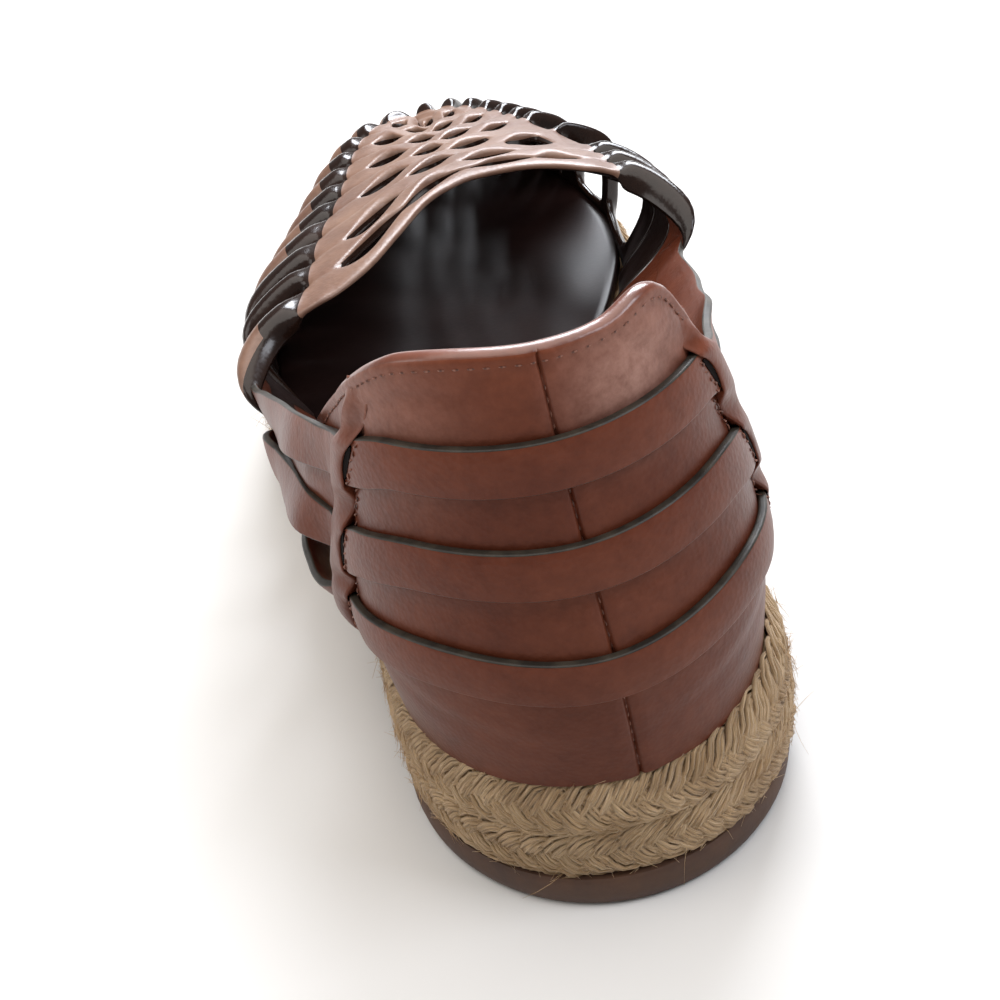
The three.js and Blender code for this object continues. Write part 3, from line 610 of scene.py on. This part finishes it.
def vampPoint(share, turn, lift):
    # a point of the last under the vamp: share from throat to toe, turn from outer to inner foot edge
    side = -1 if turn < 0 else 1
    form = vampSides[side]
    drop = abs(turn)
    power = 2 / read(sectionPower, share, form["column"])
    across = math.sin(drop * math.pi / 2) ** power
    up = max(math.cos(drop * math.pi / 2), 0) ** power
    foot = featherAt(side, share)
    past = max(foot.y - (last["length"] - last["toeRound"]), 0)
    half = read(outline, foot.y, 2)
    outward = Vector(((foot.x - read(outline, foot.y)) / (half * half), past / last["toeRound"] ** 2))
    outward.normalize()
    swell = vamp["toeSwell"] + form["swell"] * max(1 - share, 0) ** form["fade"]
    tuck = climb(drop, vamp["tuckStart"], 1 - vamp["tuckStart"])
    reach = foot + outward * (swell + lift)
    ridgeY = mix(vamp["throatY"], vamp["ridgeEndY"], share)
    back = mix(read(throat, across, form["column"]), across, min(max(share, 0), 1))
    x = mix(vamp["ridgeX"], reach.x, across) - outward.x * swell * tuck
    y = mix(ridgeY, reach.y, back) - outward.y * swell * tuck
    return Vector((x, y, mix(soleTop(foot.y) + last["fitGap"], read(ridge, ridgeY) + lift, up)))


def innerStrip(strip):
    if strip < len(innerStrips):
        return innerStrips[strip]
    pitch = (vamp["strips"] - innerRest["start"]) / (vamp["strips"] - len(innerStrips))
    start = innerRest["start"] + (strip - len(innerStrips)) * pitch
    front = vamp["strips"] if strip == vamp["strips"] - 1 else start + pitch - innerRest["opening"]
    return start + innerRest["opening"], front


def eyeAt(gap, e):
    rows = eyes["first"] if gap == 1 else eyes["odd" if gap % 2 else "even"]
    return max(max(1 - ((e - centre) / half) ** 2, 0) for centre, half in rows)


def vampOpening(gap, kind, e):
    if gap in (0, vamp["strips"]):
        return 0
    if kind == "rail":
        return vamp["eyeShut"]
    if kind == "centre":
        return mix(vamp["eyeShut"], vamp["eyeOpen"], eyeAt(gap, e))
    return vamp["rearOpen"][gap] if gap < len(vamp["rearOpen"]) else vamp["sideOpen"]


def vampLift(strip, k, kind, turn, e):
    # height of row k of a strip over the last
    profile = vamp["roll"][k]
    if kind == "foot":
        return 0.0
    if kind == "rail":
        return vamp["rail"] * (1.0 if 0 < k < len(vamp["roll"]) - 1 else vamp["railEnd"])
    if kind == "side":
        roll = mix(vamp["sideRoll"], vamp["lowRoll"], climb(abs(turn), *vamp["low"]))
        return profile * (roll if profile > 0 else vamp["sink"])
    if strip == 0:
        return vamp["rearRoll"][k]
    hole = eyeAt(strip if k < len(vamp["roll"]) // 2 else strip + 1, e)
    crown = vamp["centreRoll"] + vamp["sway"] * (eyeAt(strip, e) - eyeAt(strip + 1, e))
    plain = vamp["crownBase"] + vamp["crownShare"] * profile
    return crown * mix(plain, profile if profile > 0 else vamp["dip"] * profile, hole)


def rearHang(strip, spreadAt, turn):
    # the rear strips hang back a little towards the straps
    way, place = abs(turn), strip + spreadAt
    low = climb(way, *vamp["sagSide"]) * (1 - vamp["sagFootShare"] * climb(way, *vamp["sagFoot"]))
    if turn < 0:
        return Vector((0, -vamp["sagBack"] * low * max(1 - place, 0), 0))
    low *= 1 - place / vamp["sagFade"] if strip < vamp["sagStrips"] else 0
    return Vector((vamp["sagOut"] * low * climb(way, *vamp["sagOutSide"]), -vamp["sagBack"] * low, 0))


def stripFinish(strip, k, first, second):
    # 0 plain leather, 2 near-black roll, partly painted shade: low on the outer side the strips are part
    # plain
    if not {first[1], second[1]} & {"side", "foot"}:
        return 0
    if first[0] < -vamp["paleTurn"] and ((strip == 0 and k > 0) or (strip > 2 and k in (1, 2))):
        return 0
    return 2


def buildVamp():
    half = [(turn, kind, 0) for kind, turns in vamp["turns"].items() for turn in turns]
    per = vamp["perColumn"]
    half += [(read(centreTurns, e / per), "centre", e / per) for e in range(per * centreTurns[-1][0], 0, -1)]
    lines = [(-turn, kind, -e) for turn, kind, e in half] + [(0.0, "centre", 0)] + half[::-1]
    spread, strips = vamp["spread"], vamp["strips"]
    rowsPer = len(spread)
    outer, inner = [], []
    for row in range(strips * rowsPer):
        strip, k = divmod(row, rowsPer)
        outerRow, innerRow = [], []
        for turn, kind, e in lines:
            rear = strip + vampOpening(strip, kind, e)
            front = strip + 1 - vampOpening(strip + 1, kind, e)
            lean = min(max(turn / vamp["railTurn"], 0), 1)
            sideRear, sideFront = innerStrip(strip)
            share = mix(mix(rear, sideRear, lean), mix(front, sideFront, lean), spread[k]) / strips
            lift = vampLift(strip, k, kind, turn, e)
            hang = rearHang(strip, spread[k], turn)
            atThroat = strip == 0 and k < len(vamp["throatWall"]) and abs(turn) < vamp["railTurn"]
            wall = vamp["throatWall"][k] if atThroat else last["wall"]
            outerRow.append(vampPoint(share, turn, lift) + hang)
            innerRow.append(vampPoint(share, turn, min(lift, vamp["liningLift"]) - wall) + hang)
        outer.append(outerRow)
        inner.append(innerRow)
    rows, columns = len(outer) - 1, len(lines) - 1
    width = columns + 1
    verts = flatten(outer) + flatten(inner)
    under = len(outer) * width

    def solid(r, c):
        if not (0 <= r < rows and 0 <= c < columns):
            return False
        if r % rowsPer != rowsPer - 1:
            return True
        gap = r // rowsPer + 1
        kinds = {lines[c][1], lines[c + 1][1]}
        if kinds == {"side"}:
            return False
        if kinds == {"centre"}:
            return (eyeAt(gap, lines[c][2]) + eyeAt(gap, lines[c + 1][2])) / 2 < vamp["eyeEdge"]
        return True

    faces, marks = [], []
    for r in range(rows):
        for c in range(columns):
            if not solid(r, c):
                continue
            a, b = r * width + c, r * width + c + 1
            d, e = b + width, a + width
            finish = stripFinish(r // rowsPer, r % rowsPer, lines[c], lines[c + 1])
            faces += [(a, b, d, e), (under + e, under + d, under + b, under + a)]
            brownInside = r < rowsPer and lines[c][0] > vamp["paleTurn"]
            marks += [finish, 3 if brownInside else 1]
            rims = [(a, b, solid(r - 1, c)), (b, d, solid(r, c + 1)),
                    (d, e, solid(r + 1, c) or r == rows - 1), (e, a, solid(r, c - 1))]
            for p, q, joined in rims:
                if not joined:
                    faces.append((q, p, under + p, under + q))
                    # the cut sides of the openings below the throat edge take the near-black roll leather:
                    # painted shade in the eyes and gaps
                    marks.append(finish or (0 if r == 0 else 2))
    made = meshObject("wovenVamp", verts, faces, [panelLeather, liningLeather, rollLeather, upperLeather],
                      marks=marks)
    work = bmesh.new()
    work.from_mesh(made.data)
    bmesh.ops.remove_doubles(work, verts=work.verts, dist=vamp["weld"] / 1000)
    work.to_mesh(made.data)
    work.free()
    rounding = made.modifiers.new("rounding", "SUBSURF")
    rounding.levels = rounding.render_levels = 1
    baked = bpy.data.meshes.new_from_object(made.evaluated_get(bpy.context.evaluated_depsgraph_get()))
    made.modifiers.clear()
    made.data = baked
    baked.polygons.foreach_set("use_smooth", [True] * len(baked.polygons))
    settle(made, "upper_leather", "vamp")


# heel counter: a wall with a back seam, a folded topline and a stitched edge
# dents are rows of height, place and width; the lobe's are over the top strap's middle
counter = dict(spacing=0.75, seamStep=0.2, seamZone=2.4, seamLow=30, seamRun=62, heights=52, topRound=6,
               lift=0.55, foldWidth=1.8, foldRise=0.25, stitchDrop=1.9, lobe=(-45, -18), sharp=70,
               stitchDents=[(-0.22, 0, 0.55)], seamDents=[(0.2, 1.9, 1.3), (-0.65, 0, 0.26)],
               lobeDents=[(2.7, -7.5, 5.8), (-0.7, 1.0, 5.0)], creaseDents=[(1, 0, 1.6), (-0.7, 2.6, 1.8)])
counterEdge = [  # way round with the outer side below zero, lower edge, upper edge
    (-108, 36, 40), (-104, 34, 42.4), (-94, 33, 47.2), (-84, 31, 52), (-76, 29, 55.6), (-69, 26, 60.2),
    (-60, 0, 68.4), (-50, 0, 76.8), (-40, 0, 84), (-31, 0, 89.6), (-24, 0, 92.6), (-14, 0, 94), (0, 0, 93.6),
    (10, 0, 93.4), (18, 0, 94.3), (22, 0, 93.6), (25, 0, 91.6), (28, 0, 88), (31, 0, 84.2), (35, 0, 78),
    (39, 0, 70), (42, 0, 63.4), (45, 0, 56), (48, 0, 46.5), (51, 0, 35.5), (53, 0, 28.5)]
creases = [  # way round, height, run, slant, depth
    (17, 87, 9, -0.5, 0.3), (22, 82, 8, -0.9, 0.35), (26, 76, 8, -0.8, 0.25), (30, 69, 9, -0.6, 0.3),
    (-30, 84, 10, 0.5, 0.25), (-20, 88, 12, 0.2, 0.2), (12, 58, 16, -0.1, 0.18), (-14, 57, 18, 0.1, 0.18),
    (20, 36, 16, 0.15, 0.2), (-24, 36, 14, -0.2, 0.2)]


def seamAt(height):
    return mix(1.0, -1.0, (height - counter["seamLow"]) / counter["seamRun"])


def counterSpan(around):
    ground = soleTop(heelPoint(around, soleTop(0), 0).y) + last["fitGap"]
    return max(read(counterEdge, around, 1), ground), read(counterEdge, around, 2)


def edgeSlant(around):
    return math.hypot(1, (read(counterEdge, around + 0.5, 2) - read(counterEdge, around - 0.5, 2)))


def counterRelief(around, height, upper, slant):
    drop = (upper - height) / slant
    lift = counter["lift"] + counter["foldRise"] * climb(counter["foldWidth"] - drop, 0, 1)
    lift += bells(drop - counter["stitchDrop"], counter["stitchDents"])
    lift += bells(abs(around - seamAt(height)), counter["seamDents"])
    above = height - strapHeight(straps[0], around)  # the outer lobe swells out to the top strap
    lift += climb(around, *counter["lobe"]) * bells(above, counter["lobeDents"])
    for centre, level, run, lean, depth in creases:
        along = around - centre
        lift -= depth * bell(along, run) * bells(height - level - lean * along, counter["creaseDents"])
    return lift


def buildCounter():
    first, final = counterEdge[0][0], counterEdge[-1][0]
    wall, outside = last["wall"], counter["lift"] + counter["foldRise"]
    stations = spaced(first, final, round((final - first) / counter["spacing"]))
    stations = [a for a in stations if abs(a) > counter["seamZone"]]
    zone = round(counter["seamZone"] / counter["seamStep"])
    stations += [counter["seamStep"] * i for i in range(-zone, zone + 1)]  # close together at the back seam
    rows = []
    for around in sorted(stations):
        lower, upper = counterSpan(around)
        slant = edgeSlant(around)
        roundTop = min(wall / 2 * slant, (upper - lower) / 3)
        ring = [heelPoint(around, height, counterRelief(around, height, upper, slant))
                for height in spaced(lower, upper - roundTop, counter["heights"])]
        for k in range(1, counter["topRound"]):
            angle = math.pi * k / counter["topRound"]
            height = upper - roundTop + roundTop * math.sin(angle)
            ring.append(heelPoint(around, height, mix(-wall, outside, (1 + math.cos(angle)) / 2)))
        ring += [heelPoint(around, height, -wall)
                 for height in spaced(upper - roundTop, lower, counter["heights"])]
        rows.append(ring)
    fold, lining = counter["heights"] + 1, counter["heights"] + counter["topRound"]
    across = [0 if c < fold else 2 if c < lining else 1 for c in range(len(rows[0]))]
    made = tubeObject("heelCounter", rows, [counterLeather, liningLeather, foldLeather],
                      marks=across * (len(rows) - 1) + [0, 0], sharp=counter["sharp"])
    settle(made, "upper_leather", "heel_counter")


# stitches: short raised threads, one joined mesh
stitch = dict(pitch=1.9, length=1.3, width=0.15, sides=6, steps=5, first=0.3, ahead=0.2, ends=0.55,
              middle=0.45, arch=0.28, sunk=0.12, topline=(-60, 50, 280), toplineOut=0.1,
              seam=(25.5, 90.0, 120), seamTop=94, seamOut=-0.1, seamWave=(0.12, 3.2), keeperLow=3,
              keeperHigh=6, keeperSteps=120, keeperAway=0.7, keeperWave=(0.3, 6.4), overStrap=0.12,
              overWall=0.05)


def sewRow(verts, faces, marks):
    # marks: way round, height and distance out of close points along the row
    spots = [heelPoint(*mark) for mark in marks]
    outs = [wallNormal(around, height) for around, height, _ in marks]
    way = wayLengths(spots)

    def at(distance):
        i, share = findSpan(way, distance)
        return spots[i].lerp(spots[i + 1], share), outs[i].lerp(outs[i + 1], share).normalized()

    for n in range(int(way[-1] / stitch["pitch"])):
        begin = n * stitch["pitch"] + stitch["first"]
        start = len(verts)
        for t in spaced(0, 1, stitch["steps"] - 1):
            spot, out = at(begin + stitch["length"] * t)
            ahead, _ = at(begin + stitch["length"] * t + stitch["ahead"])
            side = (ahead - spot).normalized().cross(out).normalized()
            thick = stitch["width"] * (stitch["ends"] + stitch["middle"] * math.sin(math.pi * t))
            spot = spot + out * (stitch["arch"] * math.sin(math.pi * t) - stitch["sunk"])
            for c in range(stitch["sides"]):
                angle = 2 * math.pi * c / stitch["sides"]
                verts.append(spot + side * thick * math.cos(angle) + out * thick * math.sin(angle))
        faces += tubeFaces(stitch["steps"], stitch["sides"], start)


def wallNormal(around, height):
    return (heelPoint(around, height, 1.0) - heelPoint(around, height, 0.0)).normalized()


def waved(i, reach, every):
    # hand sewing wanders from side to side
    return reach * math.sin(2 * math.pi * i / every)


def buildStitches():
    verts, faces, topline, seam = [], [], [], []
    for around in spaced(*stitch["topline"]):
        upper, slant = counterSpan(around)[1], edgeSlant(around)
        height = upper - counter["stitchDrop"] * slant
        topline.append((around, height, counterRelief(around, height, upper, slant) + stitch["toplineOut"]))
    for i, height in enumerate(spaced(*stitch["seam"])):
        around = seamAt(height) + waved(i, *stitch["seamWave"])
        seam.append((around, height, counterRelief(around, height, stitch["seamTop"], 1) + stitch["seamOut"]))
    sewRow(verts, faces, topline)
    sewRow(verts, faces, seam)
    low, high = keeper["low"] + stitch["keeperLow"], keeper["high"] - stitch["keeperHigh"]
    inward = keeper["width"] / 2 + stitch["keeperAway"]
    for side in (-1, 1):
        row = []
        for i, height in enumerate(spaced(low, high, stitch["keeperSteps"])):
            around = side * (keeperMiddle(height, side) - inward + waved(i, *stitch["keeperWave"]))
            out = counter["lift"] + stitch["overWall"]
            if strapNear(height, around) < strapSize["width"] / 2:
                out = strapSize["gap"] + strapSize["thick"] + stitch["overStrap"]
            row.append((around, height, out))
        sewRow(verts, faces, row)
    settle(meshObject("upperStitches", verts, faces, [thread]), "upper_leather", "heel_counter")


# straps: three flat bands round the counter, through the keepers, to the vamp and the sole
strapSize = dict(width=7.0, thick=1.35, gap=0.65, heelSteps=150, frontSteps=40, corner=0.35, cornerPoints=4,
                 crown=0.2, edge=0.3, before=6, above=4, leanRun=(0.18, 0.45), endRun=(0.55, 0.35),
                 step=0.02, rimLift=-1.0, tuck=0.06, tuckLift=-1.2, tuckHang=0.6)
# reach: how far each side lies on the wall; ways: the middle line from there; lean: top edge outward in
# degrees, from keeper to front; rims: where the end goes in under the vamp, as turns
straps = [
    dict(name="heelStrapTop", node="heel_strap_top", reach={-1: 50, 1: 40}, lean={-1: (-26, -2), 1: (46, 54)},
         heights=[(-26, 77.4), (0, 78.2), (26, 77.4), (36, 74), (52, 67.2), (66, 62.4), (84, 54.6)],
         ways={-1: [(-33.9, 54, 62.3), (-36.4, 72, 54.3), (-38.6, 88, 47.2)],
               1: [(29.0, 46, 67.6), (30.4, 56, 63.9), (34.2, 72, 57.3), (37.4, 88, 50.4),
                   (40.3, 104, 43.8)]},
         rims={-1: (0.56, 0.75), 1: (0.62, 0.82)}),
    dict(name="heelStrapMiddle", node="heel_strap_middle", reach={-1: 52, 1: 66},
         lean={-1: (-31, -4), 1: (20, 20)},
         heights=[(-24, 63), (0, 63.1), (24, 63), (36, 59.4), (46, 54.6), (60, 51.6), (82, 45.6)],
         ways={-1: [(-35.6, 48, 52.4), (-37.2, 60, 49.1), (-38.7, 72, 45.4), (-40.0, 84, 41.7)],
               1: [(36.6, 70, 46), (39.8, 88, 39), (38, 105, 31)]},
         rims={-1: (0.81, 0.94), 1: (0.93, 0.999)}),
    dict(name="heelStrapBottom", node="heel_strap_bottom", reach={-1: 48, 1: 62},
         lean={-1: (36, 20), 1: (0, 0)},
         heights=[(-24, 47.5), (0, 46), (24, 47.5), (42, 43.2), (62, 35.6)],
         ways={-1: [(-34.2, 43, 39.2), (-35.6, 50, 37.6), (-36.4, 62, 35.0), (-33.6, 79, 29.2),
                    (-30.6, 88, 25.4), (-26.4, 98, 20.4)],
               1: [(30.4, 68, 29.6), (26.6, 81, 26.0), (22.0, 93, 20.8)]}, rims=None)]


def strapHeight(strap, around):
    return read(strap["heights"], abs(around))


def strapSection():
    half, thick, corner = strapSize["width"] / 2, strapSize["thick"], strapSize["corner"]
    points, count = [], strapSize["cornerPoints"]
    for cornerAcross, cornerThrough, first in ((1, 0, 270), (1, 1, 0), (-1, 1, 90), (-1, 0, 180)):
        for degrees in spaced(first, first + 90, count - 1):
            angle = math.radians(degrees)
            across = cornerAcross * (half - corner) + corner * math.cos(angle)
            through = (corner if cornerThrough == 0 else thick - corner) + corner * math.sin(angle)
            points.append((across, through))
    crowned = []
    for i, point in enumerate(points):
        crowned.append(point)
        if i % count == count - 1:
            after = points[(i + 1) % len(points)]
            for t in (0.25, 0.5, 0.75):
                across, through = mix(point[0], after[0], t), mix(point[1], after[1], t)
                lift = strapSize["crown"] * math.sin(math.pi * t) if through > thick - 0.01 else 0.0
                crowned.append((across, through + lift))
    return crowned


def curvePoint(points, at):
    # Catmull-Rom through the points, at from 0 to the number of spans
    i = min(int(at), len(points) - 2)
    t = at - i
    p1, p2 = points[i], points[i + 1]
    p0 = points[i - 1] if i > 0 else p1 * 2 - p2
    p3 = points[i + 2] if i + 2 < len(points) else p2 * 2 - p1
    return 0.5 * (2 * p1 + (p2 - p0) * t + (2 * p0 - 5 * p1 + 4 * p2 - p3) * t * t
                  + (3 * p1 - p0 - 3 * p2 + p3) * t ** 3)


def heelRing(strap, section, around):
    slope = (strapHeight(strap, around + 1) - strapHeight(strap, around - 1)) / 2
    tall = math.hypot(1, slope)
    return [heelPoint(around, strapHeight(strap, around) + across * tall, strapSize["gap"] + through)
            for across, through in section]


def frontRings(strap, section, side):
    reach, (leanStart, leanEnd) = strap["reach"][side], strap["lean"][side]

    def onWall(way, rise=0):
        out = strapSize["gap"] + strapSize["thick"] / 2
        return heelPoint(side * way, strapHeight(strap, way) + rise, out)

    def upFree(share):
        tilt = math.radians(mix(leanStart, leanEnd, climb(share, *strapSize["leanRun"])))
        return Vector((side * math.sin(tilt), 0, math.cos(tilt)))

    start = onWall(reach)
    upStart, upEnd = (onWall(reach, strapSize["above"]) - start).normalized(), upFree(1)
    points = [onWall(reach - strapSize["before"]), start] + [Vector(p) for p in strap["ways"][side]]
    if strap["rims"]:
        turns = [side * turn for turn in strap["rims"][side]]
        middle = sum(turns) / 2
        high, low = (vampPoint(0, turn, strapSize["rimLift"]) + rearHang(0, 0, turn) for turn in turns)
        tucked = vampPoint(strapSize["tuck"], middle, strapSize["tuckLift"])
        points += [(high + low) / 2, tucked + rearHang(0, strapSize["tuckHang"], middle)]
        upEnd = (high - low).normalized()
    spans, step = len(points) - 1, strapSize["step"]
    rings = []
    for i in range(1, strapSize["frontSteps"] + 1):
        share = i / strapSize["frontSteps"]
        at = mix(1, spans, share)
        spot = curvePoint(points, at)
        run = (curvePoint(points, min(at + step, spans)) - curvePoint(points, at - step)).normalized()
        up = upStart.lerp(upFree(share), climb(share, 0, strapSize["leanRun"][0]))
        up = up.lerp(upEnd, climb(share, *strapSize["endRun"])).normalized()
        face = (up.cross(run) * -side).normalized()
        up = (run.cross(face) * -side).normalized()
        rings.append([spot + up * across + face * (through - strapSize["thick"] / 2)
                      for across, through in section])
    return rings


def buildStrap(strap):
    section, reach = strapSection(), strap["reach"]
    rings = frontRings(strap, section, -1)[::-1]
    rings += [heelRing(strap, section, around)
              for around in spaced(-reach[-1], reach[1], strapSize["heelSteps"])]
    rings += frontRings(strap, section, 1)
    sides = len(section)
    atEdge = [abs(across) > strapSize["width"] / 2 - strapSize["edge"] for across, _ in section]
    marks = [int(atEdge[c] and atEdge[(c + 1) % sides]) for c in range(sides)] * (len(rings) - 1) + [1, 1]
    made = tubeObject(strap["name"], rings, [upperLeather, cutEdge], marks=marks)
    settle(made, "strap_leather", strap["node"])


# keepers: a flat band each side, sewn along its heel edge, that the straps run under
keeper = dict(width=6.0, low=33.0, high=86.5, rows=108, root=6, taper=5.5, thinnest=0.03, rootOut=0.2,
              under=(4.3, -0.6), over=(7.0, -3.5), crest=[(1.5, 0.35, 0.55)], crestBase=0.42, fade=(3.0, 2.6),
              notch=0.45, slotHalf=3.3, slotRows=16, slotOut=0.28, slotDeep=0.4, slotHeel=0.06,
              slotFront=0.12, slotSharp=40)
keeperLine = [  # height, way round to the middle on the outer and the inner side
    (33, 50, 46.3), (44, 48, 44), (54, 46, 41), (62, 44, 38.3), (70, 41.5, 35.3), (77, 38, 31.6),
    (84, 34.5, 27.6), (89, 32.2, 25.2)]
keeperSection = [  # across from heel edge to front edge, height between straps, height over a strap
    (-0.9, 0.2, 2.25), (-1.0, 0.3, 2.3), (-1.0, 0.62, 2.5), (-0.8, 0.95, 2.65), (-0.45, 1.5, 2.85),
    (0.0, 2.1, 2.95), (0.4, 2.5, 2.95), (0.75, 2.5, 2.85), (0.95, 2.1, 2.6), (1.0, 1.5, 2.3),
    (0.9, 0.2, 2.25)]
keeperBulge = [(33, 1.2), (40, 1.5), (47, 0.9), (56, 0), (85, 0)]  # height, push of the lowest strap


def keeperMiddle(height, side):
    return read(keeperLine, height, 1 if side < 0 else 2)


def strapNear(height, way):
    return min(abs(strapHeight(strap, way) - height) for strap in straps)


def slotShare(near):
    return max(1 - (near / keeper["slotHalf"]) ** 2, 0)


def buildKeeper(side):
    half = keeper["width"] / 2
    rings = []
    for height in spaced(keeper["low"], keeper["high"], keeper["rows"]):
        middle = keeperMiddle(height, side)
        fromEnd = min((height - keeper["low"]) / keeper["root"], (keeper["high"] - height) / keeper["taper"])
        ends = climb(fromEnd + keeper["thinnest"], 0, 1)
        notch = keeper["notch"] * slotShare(strapNear(height, middle - half))
        bulge = read(keeperBulge, height) if side < 0 else 0
        ring = []
        for i, (across, between, over) in enumerate(keeperSection):
            way = middle + across * half
            near = strapNear(height, way)
            if i in (0, len(keeperSection) - 1):  # the underside
                out = mix(keeper["rootOut"], mix(between, over, climb(near, *keeper["under"])), ends)
            else:
                out = mix(between, over, climb(near, *keeper["over"])) + bulge * (across + 1) / 2
                crest = keeper["crestBase"] + bells(across, keeper["crest"]) * ends  # above the top strap
                above = climb(height - strapHeight(straps[0], way), *keeper["fade"])
                out = mix(mix(keeper["rootOut"], out, ends), crest, above)
            place = across + notch * max(-across, 0) ** 2  # the heel edge draws back at each slot
            ring.append(heelPoint(side * (middle + place * half), height, out))
        rings.append(ring)
    made = tubeObject("keeperOuter" if side < 0 else "keeperInner", rings, [counterLeather])
    settle(made, "upper_leather", "heel_counter")


def buildSlots():
    # painted shade: a near-black sheet in the mouth of each slot, where a strap goes in under its keeper
    verts, faces = [], []
    half, top = keeper["width"] / 2, strapSize["gap"] + strapSize["thick"] + keeper["slotOut"]
    low = top - keeper["slotDeep"]
    for side in (-1, 1):
        for strap in straps:
            level = strapHeight(strap, keeperMiddle(strap["heights"][3][1], side) - half)
            start = len(verts)
            for rise in spaced(-keeper["slotHalf"], keeper["slotHalf"], keeper["slotRows"]):
                height = level + rise
                middle, share = keeperMiddle(height, side), slotShare(rise)
                heel = middle - half * (1 + keeper["slotHeel"] * share)
                front = middle - half * (1 - keeper["notch"] * share - keeper["slotFront"])
                for way, out in ((heel, top), (front, top), (front, low), (heel, low)):
                    verts.append(heelPoint(side * way, height, out))
            faces += tubeFaces(keeper["slotRows"] + 1, 4, start)
    made = meshObject("keeperSlotShade", verts, faces, [slotShade], sharp=keeper["slotSharp"])
    settle(made, "upper_leather", "heel_counter")


buildOutsole()
buildJute()
buildInsole()
buildVamp()
buildCounter()
for strap in straps:
    buildStrap(strap)
for side in (-1, 1):
    buildKeeper(side)
buildSlots()
buildStitches()
print("pieces made")

# stage: pale floor, soft light, and the photo's camera turned to the one shoe
stage = dict(floorHalf=6.0, floorColour="#dedddb", sky="#ffffff", skyPower=0.25)


def buildFloor():
    material = finishTree(newTree("paintedFloor")[0], {  # matt white paint
        "Base Color": linear(stage["floorColour"]), "Roughness": 0.9, "IOR": 1.45})
    half = stage["floorHalf"]
    mesh = bpy.data.meshes.new("floor")
    corners = [(-half, -half, 0), (half, -half, 0), (half, half, 0), (-half, half, 0)]
    mesh.from_pydata(corners, [], [(0, 1, 2, 3)])
    mesh.materials.append(material)
    floor = bpy.data.objects.new("floor", mesh)
    bpy.context.scene.collection.objects.link(floor)


lights = [  # name, place, aim, width, height, power, colour
    ("windowLight", (0.42, 1.0, 0.78), (0.0, 0.06, 0.04), 0.7, 0.6, 26, "#f4f8ff"),
    ("topLight", (-0.1, 0.1, 1.5), (0, 0, 0.0), 1.6, 1.6, 22, "#fffaf4"),
    ("sideLight", (0.75, -0.4, 0.95), (0.02, -0.1, 0.06), 0.5, 0.4, 6, "#f2f6ff"),
    ("fillLight", (-1.05, 0.1, 0.62), (-0.03, -0.08, 0.04), 0.6, 0.6, 3, "#fffaf6")]


def buildLights():
    for name, place, aim, width, height, power, colour in lights:
        data = bpy.data.lights.new(name, "AREA")
        data.shape, data.size, data.size_y = "RECTANGLE", width, height
        data.energy, data.color = power, linear(colour)[:3]
        made = bpy.data.objects.new(name, data)
        made.location = place
        made.rotation_euler = (Vector(aim) - Vector(place)).to_track_quat("-Z", "Y").to_euler()
        bpy.context.scene.collection.objects.link(made)
    world = bpy.data.worlds.new("studioSky")
    world.use_nodes = True
    sky = world.node_tree.nodes["Background"]
    sky.inputs["Color"].default_value = linear(stage["sky"])
    sky.inputs["Strength"].default_value = stage["skyPower"]
    bpy.context.scene.world = world
    bpy.context.scene.view_settings.view_transform = "Standard"


view = dict(place=(-0.02548, -0.26598, 0.18544), ahead=(0.06479, 0.80474, -0.59008),
            right=(0.95908, -0.21353, -0.1859), lens=54.59, sensor=36.0, nearest=0.01)


def buildCamera():
    data = bpy.data.cameras.new("photoCamera")
    data.lens, data.sensor_width, data.clip_start = view["lens"], view["sensor"], view["nearest"]
    made = bpy.data.objects.new("photoCamera", data)
    ahead = Vector(view["ahead"]).normalized()
    right = (Vector(view["right"]) - ahead * Vector(view["right"]).dot(ahead)).normalized()
    up = right.cross(ahead)
    turn = Matrix((right, up, -ahead)).transposed().to_4x4()
    made.matrix_world = Matrix.Translation(view["place"]) @ turn
    bpy.context.scene.collection.objects.link(made)
    bpy.context.scene.camera = made


buildFloor()
buildLights()
buildCamera()
print("stage set")

bpy.context.view_layer.update()
